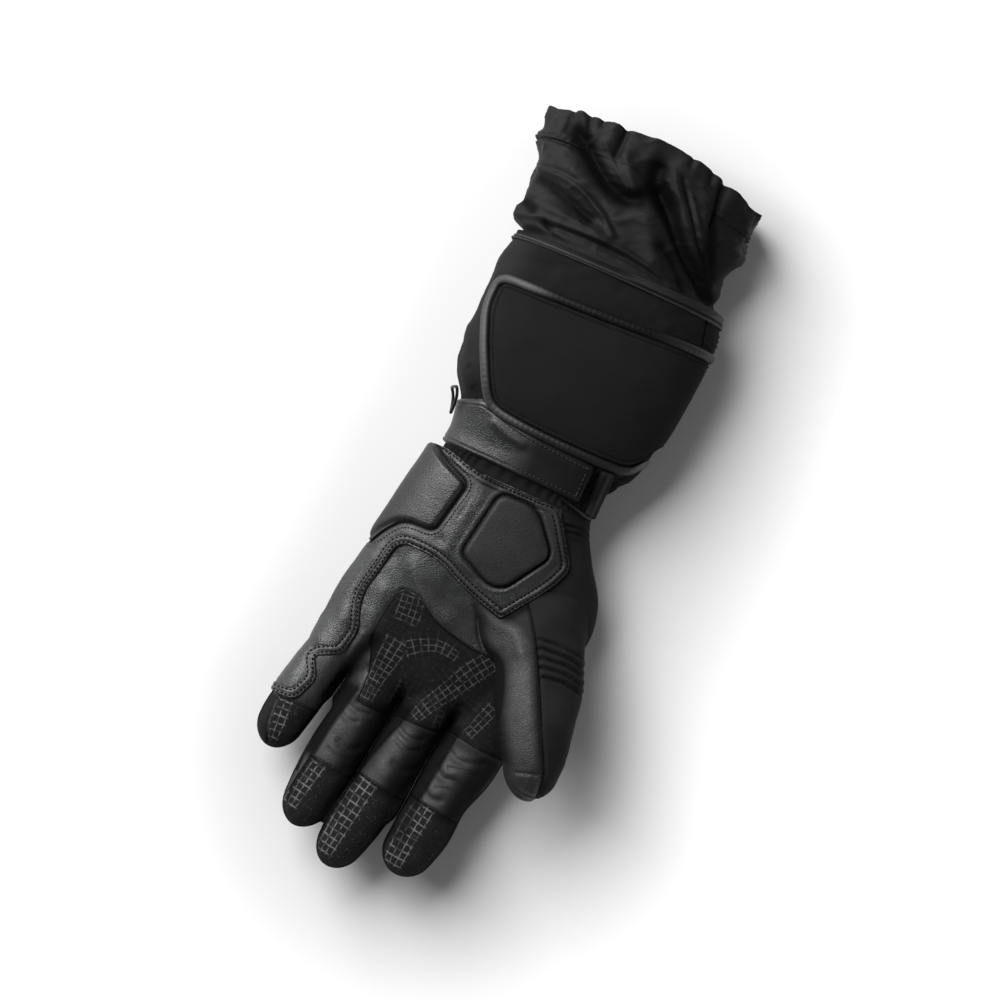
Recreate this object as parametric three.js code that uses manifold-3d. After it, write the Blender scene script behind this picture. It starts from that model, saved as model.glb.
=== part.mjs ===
// A left-hand winter motorcycle glove with a long gauntlet and a gathered storm cuff, lying on its
// back with the palm up. Millimetres, +Z up, +Y towards the cuff, +X towards the thumb.
// The hand is a set of limbs (palm, four fingers, thumb), each lofted through superellipse sections.
// Their union, less the same limbs drawn smaller, is one hollow skin, and the skin is cut along its
// seams into the panels of the real glove. Cuff, flap, straps and pads follow the same sections.
import * as THREE from "three";
import { mergeVertices } from "three/addons/utils/BufferGeometryUtils.js";
import Module from "manifold-3d";

const wasm = await Module();
wasm.setup();

const SKIN = 2.4; // leather or softshell with its lining
const GAP = 0.3; // between neighbouring pieces
const OVERLAY = 1.3; // second layer of leather over the palm heel
const PAD_RISE = 2.6; // foam pads above the overlay
const OVERLAY_LOWEST = 21; // the overlay's edge at the side of the hand
const PAD_LOWEST = 23; // the pads' edge at the side of the hand
const NYLON = 1.4; // storm cuff fabric with its lining
const FAR = 260; // past every part of the glove
const CUFF_SIDES = 28; // facets round the gauntlet and the storm cuff

// Where the skins meet along Y.
const HAND_TOP = 10; // the hand's open end at the wrist
const WRIST_TOP = 34; // the wrist gathers end and the gauntlet starts
const GAUNTLET_TOP = 119.3;
const FACING_TOP = 124;
const STORM_BASE = 108; // the storm cuff starts inside the gauntlet
const HEM_Y = 173; // where the elastic casing begins

// Sections along each limb, from the wrist out: centre x, y, z, half width, and rise above and
// below the centre. Fingers curl up a little towards their tips.
const PALM = [
  { x: -4.5, y: 26, z: 20, half: 40, up: 21, down: 22 },
  { x: -5, y: 8, z: 20, half: 42, up: 21, down: 22 },
  { x: -2.6, y: -8, z: 19.5, half: 47.4, up: 21, down: 21.5 },
  { x: 1, y: -26, z: 19, half: 54, up: 20.5, down: 21 },
  { x: 0.5, y: -46, z: 18, half: 57, up: 18.5, down: 20 },
  { x: -5.7, y: -64, z: 17, half: 54.8, up: 16.5, down: 18.5 },
  { x: -9.2, y: -80, z: 16.5, half: 53.2, up: 15, down: 16.5 },
  { x: -11.8, y: -96, z: 16.5, half: 51, up: 12.5, down: 12.5 },
];
const LITTLE = [
  { x: -49, y: -74, z: 16, half: 13, up: 13, down: 13 },
  { x: -51.8, y: -92, z: 17, half: 12.4, up: 12.6, down: 12.8 },
  { x: -55.2, y: -107, z: 19, half: 12.6, up: 12, down: 12.4 },
  { x: -58.7, y: -123, z: 21.5, half: 13.3, up: 11.8, down: 12 },
  { x: -60.6, y: -137, z: 23, half: 12, up: 11, down: 11 },
  { x: -61, y: -151, z: 24, half: 10, up: 9.5, down: 9.5 },
];
const RING = [
  { x: -23.5, y: -80, z: 16, half: 13, up: 13.5, down: 13 },
  { x: -25, y: -100, z: 17.5, half: 12.8, up: 13, down: 13.2 },
  { x: -27.5, y: -119, z: 20, half: 13.2, up: 12.6, down: 12.8 },
  { x: -30.8, y: -139, z: 23, half: 13.7, up: 12.2, down: 12.4 },
  { x: -32.8, y: -159, z: 25.5, half: 13.3, up: 11.6, down: 11.6 },
  { x: -34.5, y: -180.5, z: 26.5, half: 10.5, up: 9.5, down: 9.5 },
];
const MIDDLE = [
  { x: 3.8, y: -82, z: 16, half: 13, up: 13.5, down: 13 },
  { x: 2.8, y: -103, z: 17.5, half: 12.5, up: 13, down: 13.2 },
  { x: -0.6, y: -123, z: 20.5, half: 12, up: 12.6, down: 12.8 },
  { x: -4.2, y: -144, z: 23.5, half: 12.5, up: 12.4, down: 12.4 },
  { x: -8, y: -166, z: 26, half: 13.3, up: 11.8, down: 11.8 },
  { x: -12.5, y: -192, z: 27.5, half: 10.5, up: 9.5, down: 9.5 },
];
const INDEX = [
  { x: 30.5, y: -82, z: 16, half: 14.5, up: 13.8, down: 13 },
  { x: 31.4, y: -103, z: 17.5, half: 15, up: 13.4, down: 13.4 },
  { x: 29.4, y: -122, z: 20, half: 15.2, up: 13, down: 13 },
  { x: 24.8, y: -141, z: 22.5, half: 13.7, up: 12.6, down: 12.6 },
  { x: 22.6, y: -160, z: 24.5, half: 14.2, up: 12, down: 12 },
  { x: 17.5, y: -183.5, z: 26, half: 11.5, up: 9.5, down: 9.5 },
];
const THUMB = [
  { x: 32, y: -32, z: 23, half: 20, up: 16, down: 16 },
  { x: 38.5, y: -54, z: 31, half: 21.5, up: 15.5, down: 16 },
  { x: 46, y: -74, z: 39, half: 21.8, up: 15, down: 15 },
  { x: 51.8, y: -90, z: 44, half: 18.6, up: 14.5, down: 14 },
  { x: 57.4, y: -105, z: 46.5, half: 15.6, up: 13.5, down: 13 },
  { x: 62, y: -125, z: 47, half: 12.5, up: 11, down: 11 },
];
// Sections of the wrist and gauntlet, square to Y.
const CUFF = [
  { x: -4.5, y: 4, z: 20.5, half: 41.5, up: 21, down: 23 },
  { x: -2.5, y: 22, z: 21, half: 39.5, up: 20.5, down: 23 },
  { x: 0.8, y: 38, z: 23, half: 44, up: 22.5, down: 25.5 },
  { x: -1.4, y: 50, z: 25, half: 49.8, up: 24.5, down: 27.5 },
  { x: -2, y: 62, z: 26, half: 53, up: 25.5, down: 28.5 },
  { x: -1.4, y: 80, z: 26.5, half: 54, up: 26, down: 29 },
  { x: -0.2, y: 100, z: 26.5, half: 54.8, up: 26, down: 29 },
  { x: 0.8, y: 111, z: 26.5, half: 56, up: 26, down: 29 },
  { x: 1.5, y: 128, z: 26, half: 52.4, up: 25, down: 28.5 },
];
// Sections of the storm cuff above the gauntlet, where it billows out.
const STORM = [
  { x: -4.5, y: 133, z: 24.5, half: 52.8, up: 23.5, down: 26.5, floor: 0 },
  { x: -4.8, y: 142, z: 24, half: 50.5, up: 23, down: 26, floor: 0 },
  { x: -3, y: 155, z: 24, half: 54.8, up: 23.5, down: 26, floor: 0 },
  { x: -7, y: 167, z: 23.5, half: 57, up: 22.5, down: 25.5, floor: 0 },
  { x: -5.5, y: 173, z: 23, half: 55, up: 21.5, down: 25, floor: 0 },
  { x: -4.7, y: 191, z: 22.5, half: 57, up: 21.5, down: 24, floor: 0 },
];
// The storm cuff's top edge bows: where the bow starts and ends, and how far the edge drops per X,
// and per X squared.
const BOW_FROM = 145;
const BOW_TO = 191;
const EDGE_LEAN = 0.0954;
const EDGE_BOW = 0.003713;
// Folds of the storm cuff's palm side: a line in plan, its half spread and its rise, or depth if
// negative.
const FOLDS = [
  { from: [-56, 152], to: [-8, 140], spread: 4, rise: 2.6 },
  { from: [-54, 146], to: [-22, 140], spread: 4, rise: -3.2 },
  { from: [-58, 133], to: [18, 131], spread: 4, rise: 2.4 },
  { from: [-41, 178], to: [-8, 156], spread: 4.5, rise: -3.2 },
  { from: [-24, 178], to: [-12, 160], spread: 4, rise: 2 },
  { from: [-8, 176], to: [44, 129], spread: 4.5, rise: -3.6 },
  { from: [12, 178], to: [42, 137], spread: 4.5, rise: 2.4 },
  { from: [29, 186], to: [33, 160], spread: 3.5, rise: -2.8 },
];

// Seams in plan: corners with the radius that rounds each.
const HEEL_OVERLAY = [
  [17, 30, 0], [22, 7, 6], [36.8, -14.5, 4], [32, -27, 8], [15.6, -50, 1.5], [-6, -44, 12],
  [-24, -35.5, 10], [-44, -35.5, 7], [-46.5, -52, 6], [-50, -67, 8], [-44, -83, 4], [-47, -96.5, 3],
  [-58.5, -102.5, 2.5], [-52.8, -112, 4], [-58.5, -126, 5], [-90, -126.5, 0], [-90, 30, 0],
];
const HEEL_PAD = [
  [-49, 16, 0], [-41, 8.5, 8], [-25.5, 2.2, 3], [-31, -23.7, 3], [-46, -24.5, 9], [-53, -33, 6],
  [-57, -41, 0], [-90, -41, 0], [-90, 16, 0],
];
const THENAR_PAD = [
  [-8.5, 5, 5], [9.5, 6, 8], [25, -13, 5], [11, -35, 4], [3.5, -37, 6], [-14, -28.5, 4],
];
const PALM_GRIP = [
  [-37.5, -83, 3], [-36.5, -70, 6], [-33.5, -56, 5], [-24, -56.5, 6], [-12, -64.5, 8],
  [8, -69.3, 8], [22, -69.5, 4], [60, -90, 0], [60, -114, 0], [16, -110, 0], [10, -112.5, 0],
  [-10, -113, 0], [-14, -115, 0], [-31, -114, 2], [-31.5, -98, 4],
];
const SIDE_PANEL = [
  [17, 30, 0], [22, 7, 6], [36.8, -14.5, 4], [32, -27, 8], [24, -37, 2], [36, -54, 0], [90, -54, 0],
  [90, 30, 0],
];
const THUMB_SEAM = [
  [10, -20, 0], [24, -36, 8], [36, -53, 12], [47, -74, 12], [63.5, -107, 10], [66, -140, 0],
  [120, -140, 0], [120, -20, 0],
];
// Fingertip panels start at a seam across each finger, and leave the wall strip on the little
// finger's side.
const TIPS = [
  { name: "tip_little", seam: [[-66.5, -127], [-44, -127]], reach: [[-44, -156], [-62.5, -156]] },
  { name: "tip_ring", seam: [[-41, -146.5], [-16.5, -149]], reach: [[-18, -186], [-47, -186]] },
  { name: "tip_middle", seam: [[-17.5, -145], [9.5, -149]], reach: [[6, -198], [-24, -198]] },
  { name: "tip_index", seam: [[10, -145], [44, -149]], reach: [[40, -190], [7, -190]] },
];
// Finger fronts that the grip patch parts from the palm.
const FRONTS = [
  { name: "front_middle", corners: [[-11, -104], [13, -104], [10.5, -152], [-19, -152]] },
  { name: "front_index", corners: [[15, -104], [50, -104], [50, -152], [9.5, -152]] },
];
// The back of each finger starts at a seam across the knuckles.
const FINGER_BACKS = [
  {
    name: "back_little",
    corners: [[-90, -92], [-38.5, -92], [-44.3, -123.5], [-48, -160], [-90, -160]],
  },
  {
    name: "back_ring",
    corners: [
      [-38.5, -92], [-12, -92], [-12, -98], [-15.5, -130], [-19.5, -158], [-25, -190], [-52, -190],
      [-44.3, -123.5],
    ],
  },
  {
    name: "back_middle",
    corners: [
      [-12, -92], [16, -92], [16, -97], [10.8, -125], [9.3, -150], [7.5, -168], [4, -200],
      [-26, -200], [-25, -190], [-19.5, -158], [-15.5, -130], [-12, -98],
    ],
  },
  {
    name: "back_index",
    corners: [
      [16, -92], [90, -92], [90, -200], [4, -200], [7.5, -168], [9.3, -150], [10.8, -125], [16, -97],
    ],
  },
];
// The height, along Y, of the seam between the palm side and the back.
const PARTING = [[30, 20], [-60, 17.5], [-90, 17.5], [-120, 21.5], [-150, 26], [-200, 28.5]];
// The closure flap comes round from the thumb side and ends in a rounded nose.
const FLAP = [
  [90, 109, 0], [48, 106.6, 20], [10, 103, 20], [-30, 101.5, 12], [-52.5, 101.5, 9],
  [-53, 83, 9], [-47, 67, 8], [-37.5, 47.5, 9], [-30, 38, 10], [-10, 35.5, 12], [20, 35, 20],
  [43, 36, 9], [56, 49, 6], [90, 49, 0],
];
const BINDING_WIDE = 4.4;
const FLAP_THICK = 2.2;
const BINDING_THICK = 3.4;
const FLAP_LOWEST = 9; // where the flap meets the gauntlet's thumb side
// The wrist strap, across the palm side of the wrist.
const STRAP = [
  [-33, 43, 3], [-48, 37.5, 3], [-46.5, 16.5, 5], [-20, 16.4, 6], [27, 15.5, 2], [27, 34.5, 2],
  [-10, 36.5, 10],
];
const STRAP_THICK = 3;
const STRAP_LOWEST = 15;
const KEEPER = { x: 33.5, low: 12.5, high: 33, radius: 3 };
// Wires, by their angle round the wrist (0 is the thumb side, 90 the palm side) and Y.
const RING_BAR = { radius: 0.8, run: [[61, 14.2], [48, 12.8], [35, 11.6], [23, 11.4]] };
const HOOK = { radius: 0.7, corners: [[166, 30], [170, 42], [156, 43]] };

// Small cubic helpers over a table of rows.
function cubic(a, b, c, d, t) {
  const m0 = (c - a) / 2;
  const m1 = (d - b) / 2;
  return ((2 * (b - c) + m0 + m1) * t + (3 * (c - b) - 2 * m0 - m1)) * t * t + m0 * t + b;
}
// The row at position u, counted in rows.
function rowAt(rows, u) {
  const last = rows.length - 1;
  const i = Math.min(Math.max(Math.floor(u), 0), last - 1);
  const [a, b, c, d] = [Math.max(i - 1, 0), i, i + 1, Math.min(i + 2, last)].map((k) => rows[k]);
  return Object.fromEntries(Object.keys(b).map((k) => [k, cubic(a[k], b[k], c[k], d[k], u - i)]));
}
// The row where column key has the given value; the column rises or falls all the way.
function rowWhere(rows, key, value) {
  let [low, high] = [0, rows.length - 1];
  const rising = rows[high][key] > rows[low][key];
  for (let step = 0; step < 30; step++) {
    const mid = (low + high) / 2;
    if (rowAt(rows, mid)[key] < value === rising) low = mid;
    else high = mid;
  }
  return rowAt(rows, (low + high) / 2);
}
const power = (v, e) => Math.sign(v) * Math.abs(v) ** e;

// A point on a section, grown outwards by offset. Its underside lies flat: on the ground outside,
// and one skin above it inside.
function sectionPoint(row, across, angle, offset, squareness = 2.4) {
  const [c, s] = [Math.cos(angle), Math.sin(angle)].map((v) => power(v, 2 / squareness));
  const side = (row.half + offset) * c;
  const rise = (s > 0 ? row.up + offset : row.down + offset) * s;
  const floor = Math.max(row.floor ?? 0, 0) - Math.min(0, offset);
  return new THREE.Vector3(
    row.x + side * across.x,
    row.y + side * across.y,
    Math.max(row.z + rise, floor),
  );
}

// The faces of a tube through a stack of loops with equal numbers of points.
function loopFaces(rows) {
  const faces = [];
  const wide = rows[0].length;
  for (let i = 0; i + 1 < rows.length; i++) {
    for (let j = 0; j < wide; j++) {
      const k = (j + 1) % wide;
      faces.push([rows[i][j], rows[i][k], rows[i + 1][k]], [rows[i][j], rows[i + 1][k], rows[i + 1][j]]);
    }
  }
  return faces;
}
function fan(loop, centre, flip) {
  return loop.map((p, j) => {
    const q = loop[(j + 1) % loop.length];
    return flip ? [q, p, centre] : [p, q, centre];
  });
}
// Triangles of points to a manifold solid, turned to face out.
function solidFrom(faces) {
  const flat = faces.flatMap((f) => f.flatMap((p) => [p.x, p.y, p.z]));
  const raw = new THREE.BufferGeometry();
  raw.setAttribute("position", new THREE.Float32BufferAttribute(flat, 3));
  return solidOf(raw);
}
function solidOf(geometry) {
  geometry.deleteAttribute("normal");
  geometry.deleteAttribute("uv");
  const g = mergeVertices(geometry, 1e-4);
  const index = [];
  for (let i = 0; i < g.index.count; i += 3) {
    const [a, b, c] = [0, 1, 2].map((k) => g.index.getX(i + k));
    if (a !== b && b !== c && a !== c) index.push(a, b, c);
  }
  const build = (triVerts) =>
    new wasm.Manifold(
      new wasm.Mesh({
        numProp: 3,
        vertProperties: g.attributes.position.array,
        triVerts: new Uint32Array(triVerts),
      }),
    );
  const made = build(index);
  return made.volume() > 0 ? made : build(index.reverse());
}
const average = (points) =>
  points.reduce((sum, p) => sum.add(p), new THREE.Vector3()).divideScalar(points.length);

// A limb closed at both ends. A finger's sections stand square to its line, and its tip is rounded
// over tip millimetres. With tip 0 the sections stand square to Y, and the end is flat.
function limb(rows, { offset = 0, along = 12, round = 14, tip = 12, squareness = 2.3 }) {
  const last = rows.length - 1;
  const end = rows[last];
  const loops = [];
  for (let i = 0; i <= along; i++) {
    // Stations crowd towards the tip, where the shape turns quickly.
    const u = last * (1 - (1 - i / along) ** (tip ? 1.35 : 1));
    const row = rowAt(rows, u);
    const ahead = rowAt(rows, Math.min(u + 0.05, last));
    const behind = rowAt(rows, Math.max(u - 0.05, 0));
    const way = new THREE.Vector2(tip ? ahead.x - behind.x : 0, ahead.y - behind.y).normalize();
    const across = new THREE.Vector2(-way.y, way.x);
    if (tip) {
      const left = Math.hypot(end.x - row.x, end.y - row.y);
      const near = Math.min(left / (tip + offset), 1);
      const keep = Math.max(Math.sqrt(1 - (1 - near) ** 2), 0.02);
      for (const k of ["half", "up", "down"]) row[k] = (row[k] + offset) * keep - offset;
      row.x += way.x * offset * (1 - near);
      row.y += way.y * offset * (1 - near);
    } else if (i === along) {
      row.x += way.x * offset;
      row.y += way.y * offset;
    }
    if (i === 0) {
      row.x -= way.x * offset;
      row.y -= way.y * offset;
    }
    loops.push(
      Array.from({ length: round }, (_, j) =>
        sectionPoint(row, across, (j / round) * 2 * Math.PI, offset, squareness),
      ),
    );
  }
  return solidFrom([
    ...loopFaces(loops),
    ...fan(loops[0], average(loops[0]), true),
    ...fan(loops.at(-1), average(loops.at(-1)), false),
  ]);
}

// The wall between an outer and an inner stack of loops.
function between(outer, inner) {
  const faces = [...loopFaces(outer), ...loopFaces(inner).map((f) => f.reverse())];
  const rim = (a, b) => {
    for (let j = 0; j < a.length; j++) {
      const k = (j + 1) % a.length;
      faces.push([a[j], b[j], b[k]], [a[j], b[k], a[k]]);
    }
  };
  rim(outer[0], inner[0]);
  rim([...outer.at(-1)].reverse(), [...inner.at(-1)].reverse());
  return solidFrom(faces);
}

// A rounded outline in plan as points, and the same moved out by grow.
function outline(corners, grow = 0, steps = 3) {
  const n = corners.length;
  const points = corners.flatMap(([x, y, radius], i) => {
    const here = new THREE.Vector2(x, y);
    if (!radius) return [here];
    const towards = (k) => {
      const edge = new THREE.Vector2(corners[k][0], corners[k][1]).sub(here);
      return edge.setLength(Math.min(radius, edge.length() * 0.45)).add(here);
    };
    const arc = new THREE.QuadraticBezierCurve(towards((i + n - 1) % n), here, towards((i + 1) % n));
    return arc.getPoints(steps);
  });
  if (!grow) return points;
  const turn = Math.sign(THREE.ShapeUtils.area(points));
  return points.map((p, i) => {
    const before = points[(i + points.length - 1) % points.length];
    const way = points[(i + 1) % points.length].clone().sub(before).normalize();
    return new THREE.Vector2(p.x + way.y * grow * turn, p.y - way.x * grow * turn);
  });
}
function prism(points, low = -10, high = 90) {
  const g = new THREE.ExtrudeGeometry(new THREE.Shape(points), {
    depth: high - low,
    bevelEnabled: false,
  });
  return solidOf(g.translate(0, 0, low));
}
const plan = (corners, grow = 0) => prism(outline(corners, grow));
// Everything above, or below, the parting between palm side and back.
function partingSide(sign, lift) {
  const line = PARTING.map(([y, z]) => new THREE.Vector2(y, z + lift));
  const far = sign * 120;
  const shape = new THREE.Shape([
    new THREE.Vector2(FAR, line[0].y),
    ...line,
    new THREE.Vector2(-FAR, line.at(-1).y),
    new THREE.Vector2(-FAR, far),
    new THREE.Vector2(FAR, far),
  ]);
  const g = new THREE.ExtrudeGeometry(shape, { depth: 2 * FAR, bevelEnabled: false });
  // The shape's x, y and depth become the glove's Y, Z and X.
  g.applyMatrix4(new THREE.Matrix4().set(0, 0, 1, -FAR, 1, 0, 0, 0, 0, 1, 0, 0, 0, 0, 0, 1));
  return solidOf(g);
}
// The largest body of a cut, without the crumbs.
const mainBody = (solid) =>
  solid.decompose().sort((a, b) => b.volume() - a.volume())[0];
const boxSolid = (x0, x1, y0, y1, z0, z1) =>
  solidOf(
    new THREE.BoxGeometry(x1 - x0, y1 - y0, z1 - z0).translate(
      (x0 + x1) / 2,
      (y0 + y1) / 2,
      (z0 + z1) / 2,
    ),
  );

// The hand without its thumb, grown or shrunk by offset.
function handForm(offset, fine) {
  const tubes = fine ? { along: 8, round: 12 } : { along: 5, round: 8 };
  const palm = fine ? { along: 9, round: 22 } : { along: 7, round: 14 };
  return [LITTLE, RING, MIDDLE, INDEX].reduce(
    (sum, rows) => sum.add(limb(rows, { offset, ...tubes })),
    limb(PALM, { offset, ...palm, tip: 0, squareness: 2.7 }),
  );
}
const thumbForm = (offset, fine) =>
  limb(THUMB, { offset, along: fine ? 9 : 6, round: fine ? 14 : 10, squareness: 2.2 });

const materials = {};
function material(name, color, roughness, metalness = 0) {
  materials[name] = new THREE.MeshStandardMaterial({ name, color, roughness, metalness });
}
material("leather", 0x26282a, 0.5);
material("grip", 0x232527, 0.72);
material("softshell", 0x1c1d1f, 0.88);
material("nylon", 0x202223, 0.66);
material("binding", 0x2c2e30, 0.7);
material("elastic", 0x17181a, 0.9);
material("metal", 0x2a2b2d, 0.35, 0.8);

const glove = new THREE.Group();
// Adds a solid as a named mesh.
function place(name, solid, materialName) {
  const { numProp, numVert, vertProperties, triVerts } = mainBody(solid).getMesh();
  const positions = new Float32Array(numVert * 3);
  for (let i = 0; i < numVert; i++) {
    positions.set(vertProperties.subarray(i * numProp, i * numProp + 3), i * 3);
  }
  const geometry = new THREE.BufferGeometry();
  geometry.setAttribute("position", new THREE.BufferAttribute(positions, 3));
  geometry.setIndex(new THREE.BufferAttribute(triVerts, 1));
  geometry.computeVertexNormals();
  const mesh = new THREE.Mesh(geometry, materials[materialName]);
  mesh.name = name;
  glove.add(mesh);
}

// The hand's panels, cut from one skin.
function buildHand() {
  const belowWrist = boxSolid(-FAR, FAR, -FAR, HAND_TOP, -10, 120);
  const form = handForm(0, true);
  const thumbHollow = thumbForm(-SKIN, false);
  const skin = form.subtract(handForm(-SKIN, false)).subtract(thumbHollow).intersect(belowWrist);

  let rest = skin.intersect(partingSide(-1, -GAP / 2));
  const cutOut = (name, corners, materialName) => {
    place(name, rest.intersect(plan(corners)), materialName);
    rest = rest.subtract(plan(corners, GAP));
  };
  for (const { name, corners } of FINGER_BACKS) {
    cutOut(name, corners.map(([x, y]) => [x, y, 0]), "softshell");
  }
  place("back_softshell", rest, "softshell");

  rest = skin.intersect(partingSide(1, GAP / 2));
  cutOut("side_softshell", SIDE_PANEL, "softshell");
  for (const { name, seam, reach } of TIPS) {
    cutOut(name, [...seam, ...reach].map(([x, y]) => [x, y, 0]), "grip");
  }
  cutOut("palm_grip", PALM_GRIP, "grip");
  for (const { name, corners } of FRONTS) {
    cutOut(name, corners.map(([x, y]) => [x, y, 0]), "leather");
  }
  place("palm_leather", rest, "leather");

  const thumb = thumbForm(0, true).subtract(thumbHollow).subtract(handForm(GAP, true));
  place("thumb_softshell", thumb.intersect(plan(THUMB_SEAM)), "softshell");
  place("thumb_leather", thumb.subtract(plan(THUMB_SEAM, GAP)), "leather");
}

// A layer on the palm side, from low to high above the form's surface, within an outline.
function layer(form, low, high, cut, lowest) {
  const above = boxSolid(-FAR, FAR, -FAR, FAR, lowest, 120);
  return form(high).subtract(form(low)).intersect(cut).intersect(above);
}

// The leather overlay on the palm's heel, with its two foam pads.
function buildPalmLayers() {
  const form = (offset) => handForm(offset, true);
  const overlay = layer(form, GAP, GAP + OVERLAY, plan(HEEL_OVERLAY), OVERLAY_LOWEST);
  const belowWrist = boxSolid(-FAR, FAR, -FAR, HAND_TOP, -10, 120);
  const clear = overlay.intersect(belowWrist).subtract(thumbForm(GAP, true));
  place("palm_overlay", clear, "leather");
  const seat = 2 * GAP + OVERLAY;
  const pad = (corners) =>
    layer(form, seat, seat + PAD_RISE, plan(corners), PAD_LOWEST).intersect(belowWrist);
  place("heel_pad", pad(HEEL_PAD), "leather");
  place("thenar_pad", pad(THENAR_PAD), "leather");
}

const cuffForm = (offset) =>
  limb(CUFF, { offset, along: 11, round: CUFF_SIDES, tip: 0, squareness: 2.4 });
const ring = (outer, inner, y0, y1) =>
  cuffForm(outer).subtract(cuffForm(inner)).intersect(boxSolid(-FAR, FAR, y0, y1, -10, 120));

// A round wire along points, closed on itself or with flat ends.
function wire(points, radius, closed) {
  const sides = 6;
  const curve = new THREE.CatmullRomCurve3(points, closed, "centripetal");
  const steps = points.length * 3;
  const { tangents, normals, binormals } = curve.computeFrenetFrames(steps, closed);
  const count = closed ? steps : steps + 1;
  const loops = Array.from({ length: count }, (_, i) =>
    Array.from({ length: sides }, (_, j) => {
      const angle = (j / sides) * 2 * Math.PI;
      return curve
        .getPointAt(i / steps)
        .addScaledVector(normals[i], Math.cos(angle) * radius)
        .addScaledVector(binormals[i], Math.sin(angle) * radius);
    }),
  );
  if (closed) return solidFrom(loopFaces([...loops, loops[0]]));
  return solidFrom([
    ...loopFaces(loops),
    ...fan(loops[0], average(loops[0]), true),
    ...fan(loops.at(-1), average(loops.at(-1)), false),
  ]);
}

// A point round the cuff, at an angle in degrees.
const X_AXIS = new THREE.Vector2(1, 0);
const cuffPoint = (degrees, y, offset) =>
  sectionPoint(rowWhere(CUFF, "y", y), X_AXIS, THREE.MathUtils.degToRad(degrees), offset);
// The height of the cuff's palm side at a place in plan, lifted by offset.
function cuffTop(x, y, offset) {
  const row = rowWhere(CUFF, "y", y);
  const share = Math.min(Math.abs((x - row.x) / (row.half + offset)), 1);
  return row.z + (row.up + offset) * (1 - share ** 2.4) ** (1 / 2.4);
}

function buildCuff() {
  place("wrist_gather", ring(0, -SKIN, HAND_TOP + GAP, WRIST_TOP), "elastic");
  place("gauntlet", ring(0, -SKIN, WRIST_TOP + GAP, GAUNTLET_TOP), "softshell");
  place("top_facing", ring(0.8, -SKIN, GAUNTLET_TOP + GAP, FACING_TOP), "binding");

  const inside = outline(FLAP, -BINDING_WIDE);
  const flap = layer(cuffForm, GAP, GAP + FLAP_THICK, prism(inside), FLAP_LOWEST);
  place("cuff_flap", flap, "nylon");
  const rim = plan(FLAP).subtract(prism(outline(FLAP, GAP - BINDING_WIDE)));
  place("flap_binding", layer(cuffForm, GAP, GAP + BINDING_THICK, rim, FLAP_LOWEST), "binding");

  const strap = layer(cuffForm, GAP, GAP + STRAP_THICK, plan(STRAP), STRAP_LOWEST);
  place("wrist_strap", strap.subtract(plan(FLAP, GAP)), "leather");

  const { x, low, high, radius } = KEEPER;
  const [from, to] = [low + radius, high - radius].map(
    (y) => new THREE.Vector3(x, y, cuffTop(x, y, GAP + radius)),
  );
  const roll = new THREE.CapsuleGeometry(radius, from.distanceTo(to), 3, 12);
  const way = to.clone().sub(from).normalize();
  roll.applyQuaternion(new THREE.Quaternion().setFromUnitVectors(new THREE.Vector3(0, 1, 0), way));
  const middle = from.add(to).multiplyScalar(0.5);
  place("strap_keeper", solidOf(roll.translate(middle.x, middle.y, middle.z)), "leather");

  const along = (run, offset) => run.map(([degrees, y]) => cuffPoint(degrees, y, offset));
  const bar = along(RING_BAR.run, 2 * GAP + RING_BAR.radius);
  place("strap_ring", wire(bar, RING_BAR.radius, false), "metal");
  const hook = along(HOOK.corners, 2 * GAP + STRAP_THICK + HOOK.radius);
  place("glove_hook", wire(hook, HOOK.radius, true), "metal");
}

// The sections of the storm cuff: a neck inside the gauntlet, then the free part.
const neck = [STORM_BASE, 116, FACING_TOP + GAP].map((y) => {
  const row = rowWhere(CUFF, "y", y);
  const inset = SKIN + GAP;
  return {
    ...row,
    half: row.half - inset,
    up: row.up - inset,
    down: row.down - inset,
    floor: inset,
  };
});
const stormRows = [...neck, ...STORM];
// How far the folds lift the fabric at a place in plan.
function foldRise(x, y) {
  const here = new THREE.Vector3(x, y, 0);
  const nearest = new THREE.Vector3();
  return FOLDS.reduce((sum, { from, to, spread, rise }) => {
    const fold = new THREE.Line3(new THREE.Vector3(...from, 0), new THREE.Vector3(...to, 0));
    const away = fold.closestPointToPoint(here, true, nearest).distanceTo(here);
    return sum + rise * Math.exp(-((away / spread) ** 2));
  }, 0);
}
// A grid of points of the storm cuff's fabric between two heights.
function stormGrid(y0, y1, along, offset) {
  const round = CUFF_SIDES;
  return Array.from({ length: along + 1 }, (_, i) => {
    const row = rowWhere(stormRows, "y", y0 + ((y1 - y0) * i) / along);
    return Array.from({ length: round }, (__, j) => {
      const angle = (j / round) * 2 * Math.PI;
      const p = sectionPoint(row, X_AXIS, angle, offset);
      const lift = foldRise(p.x, p.y) * Math.sqrt(Math.max(Math.sin(angle), 0));
      p.x += lift * Math.cos(angle);
      p.z += lift * Math.sin(angle);
      const bow = THREE.MathUtils.smoothstep(p.y, BOW_FROM, BOW_TO);
      p.y -= (EDGE_LEAN * p.x + EDGE_BOW * p.x ** 2) * bow;
      return p;
    });
  });
}
function buildStormCuff() {
  const part = (y0, y1, along) =>
    between(stormGrid(y0, y1, along, 0), stormGrid(y0, y1, along, -NYLON));
  const below = boxSolid(-FAR, FAR, -FAR, FACING_TOP + GAP, -10, 120);
  const gauntletWall = below.subtract(cuffForm(-SKIN - GAP));
  place("storm_cuff", part(STORM_BASE, HEM_Y, 15).subtract(gauntletWall), "nylon");
  place("cuff_hem", part(HEM_Y + GAP, STORM.at(-1).y, 3), "nylon");
}

buildHand();
buildPalmLayers();
buildCuff();
buildStormCuff();

export default glove;
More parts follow.
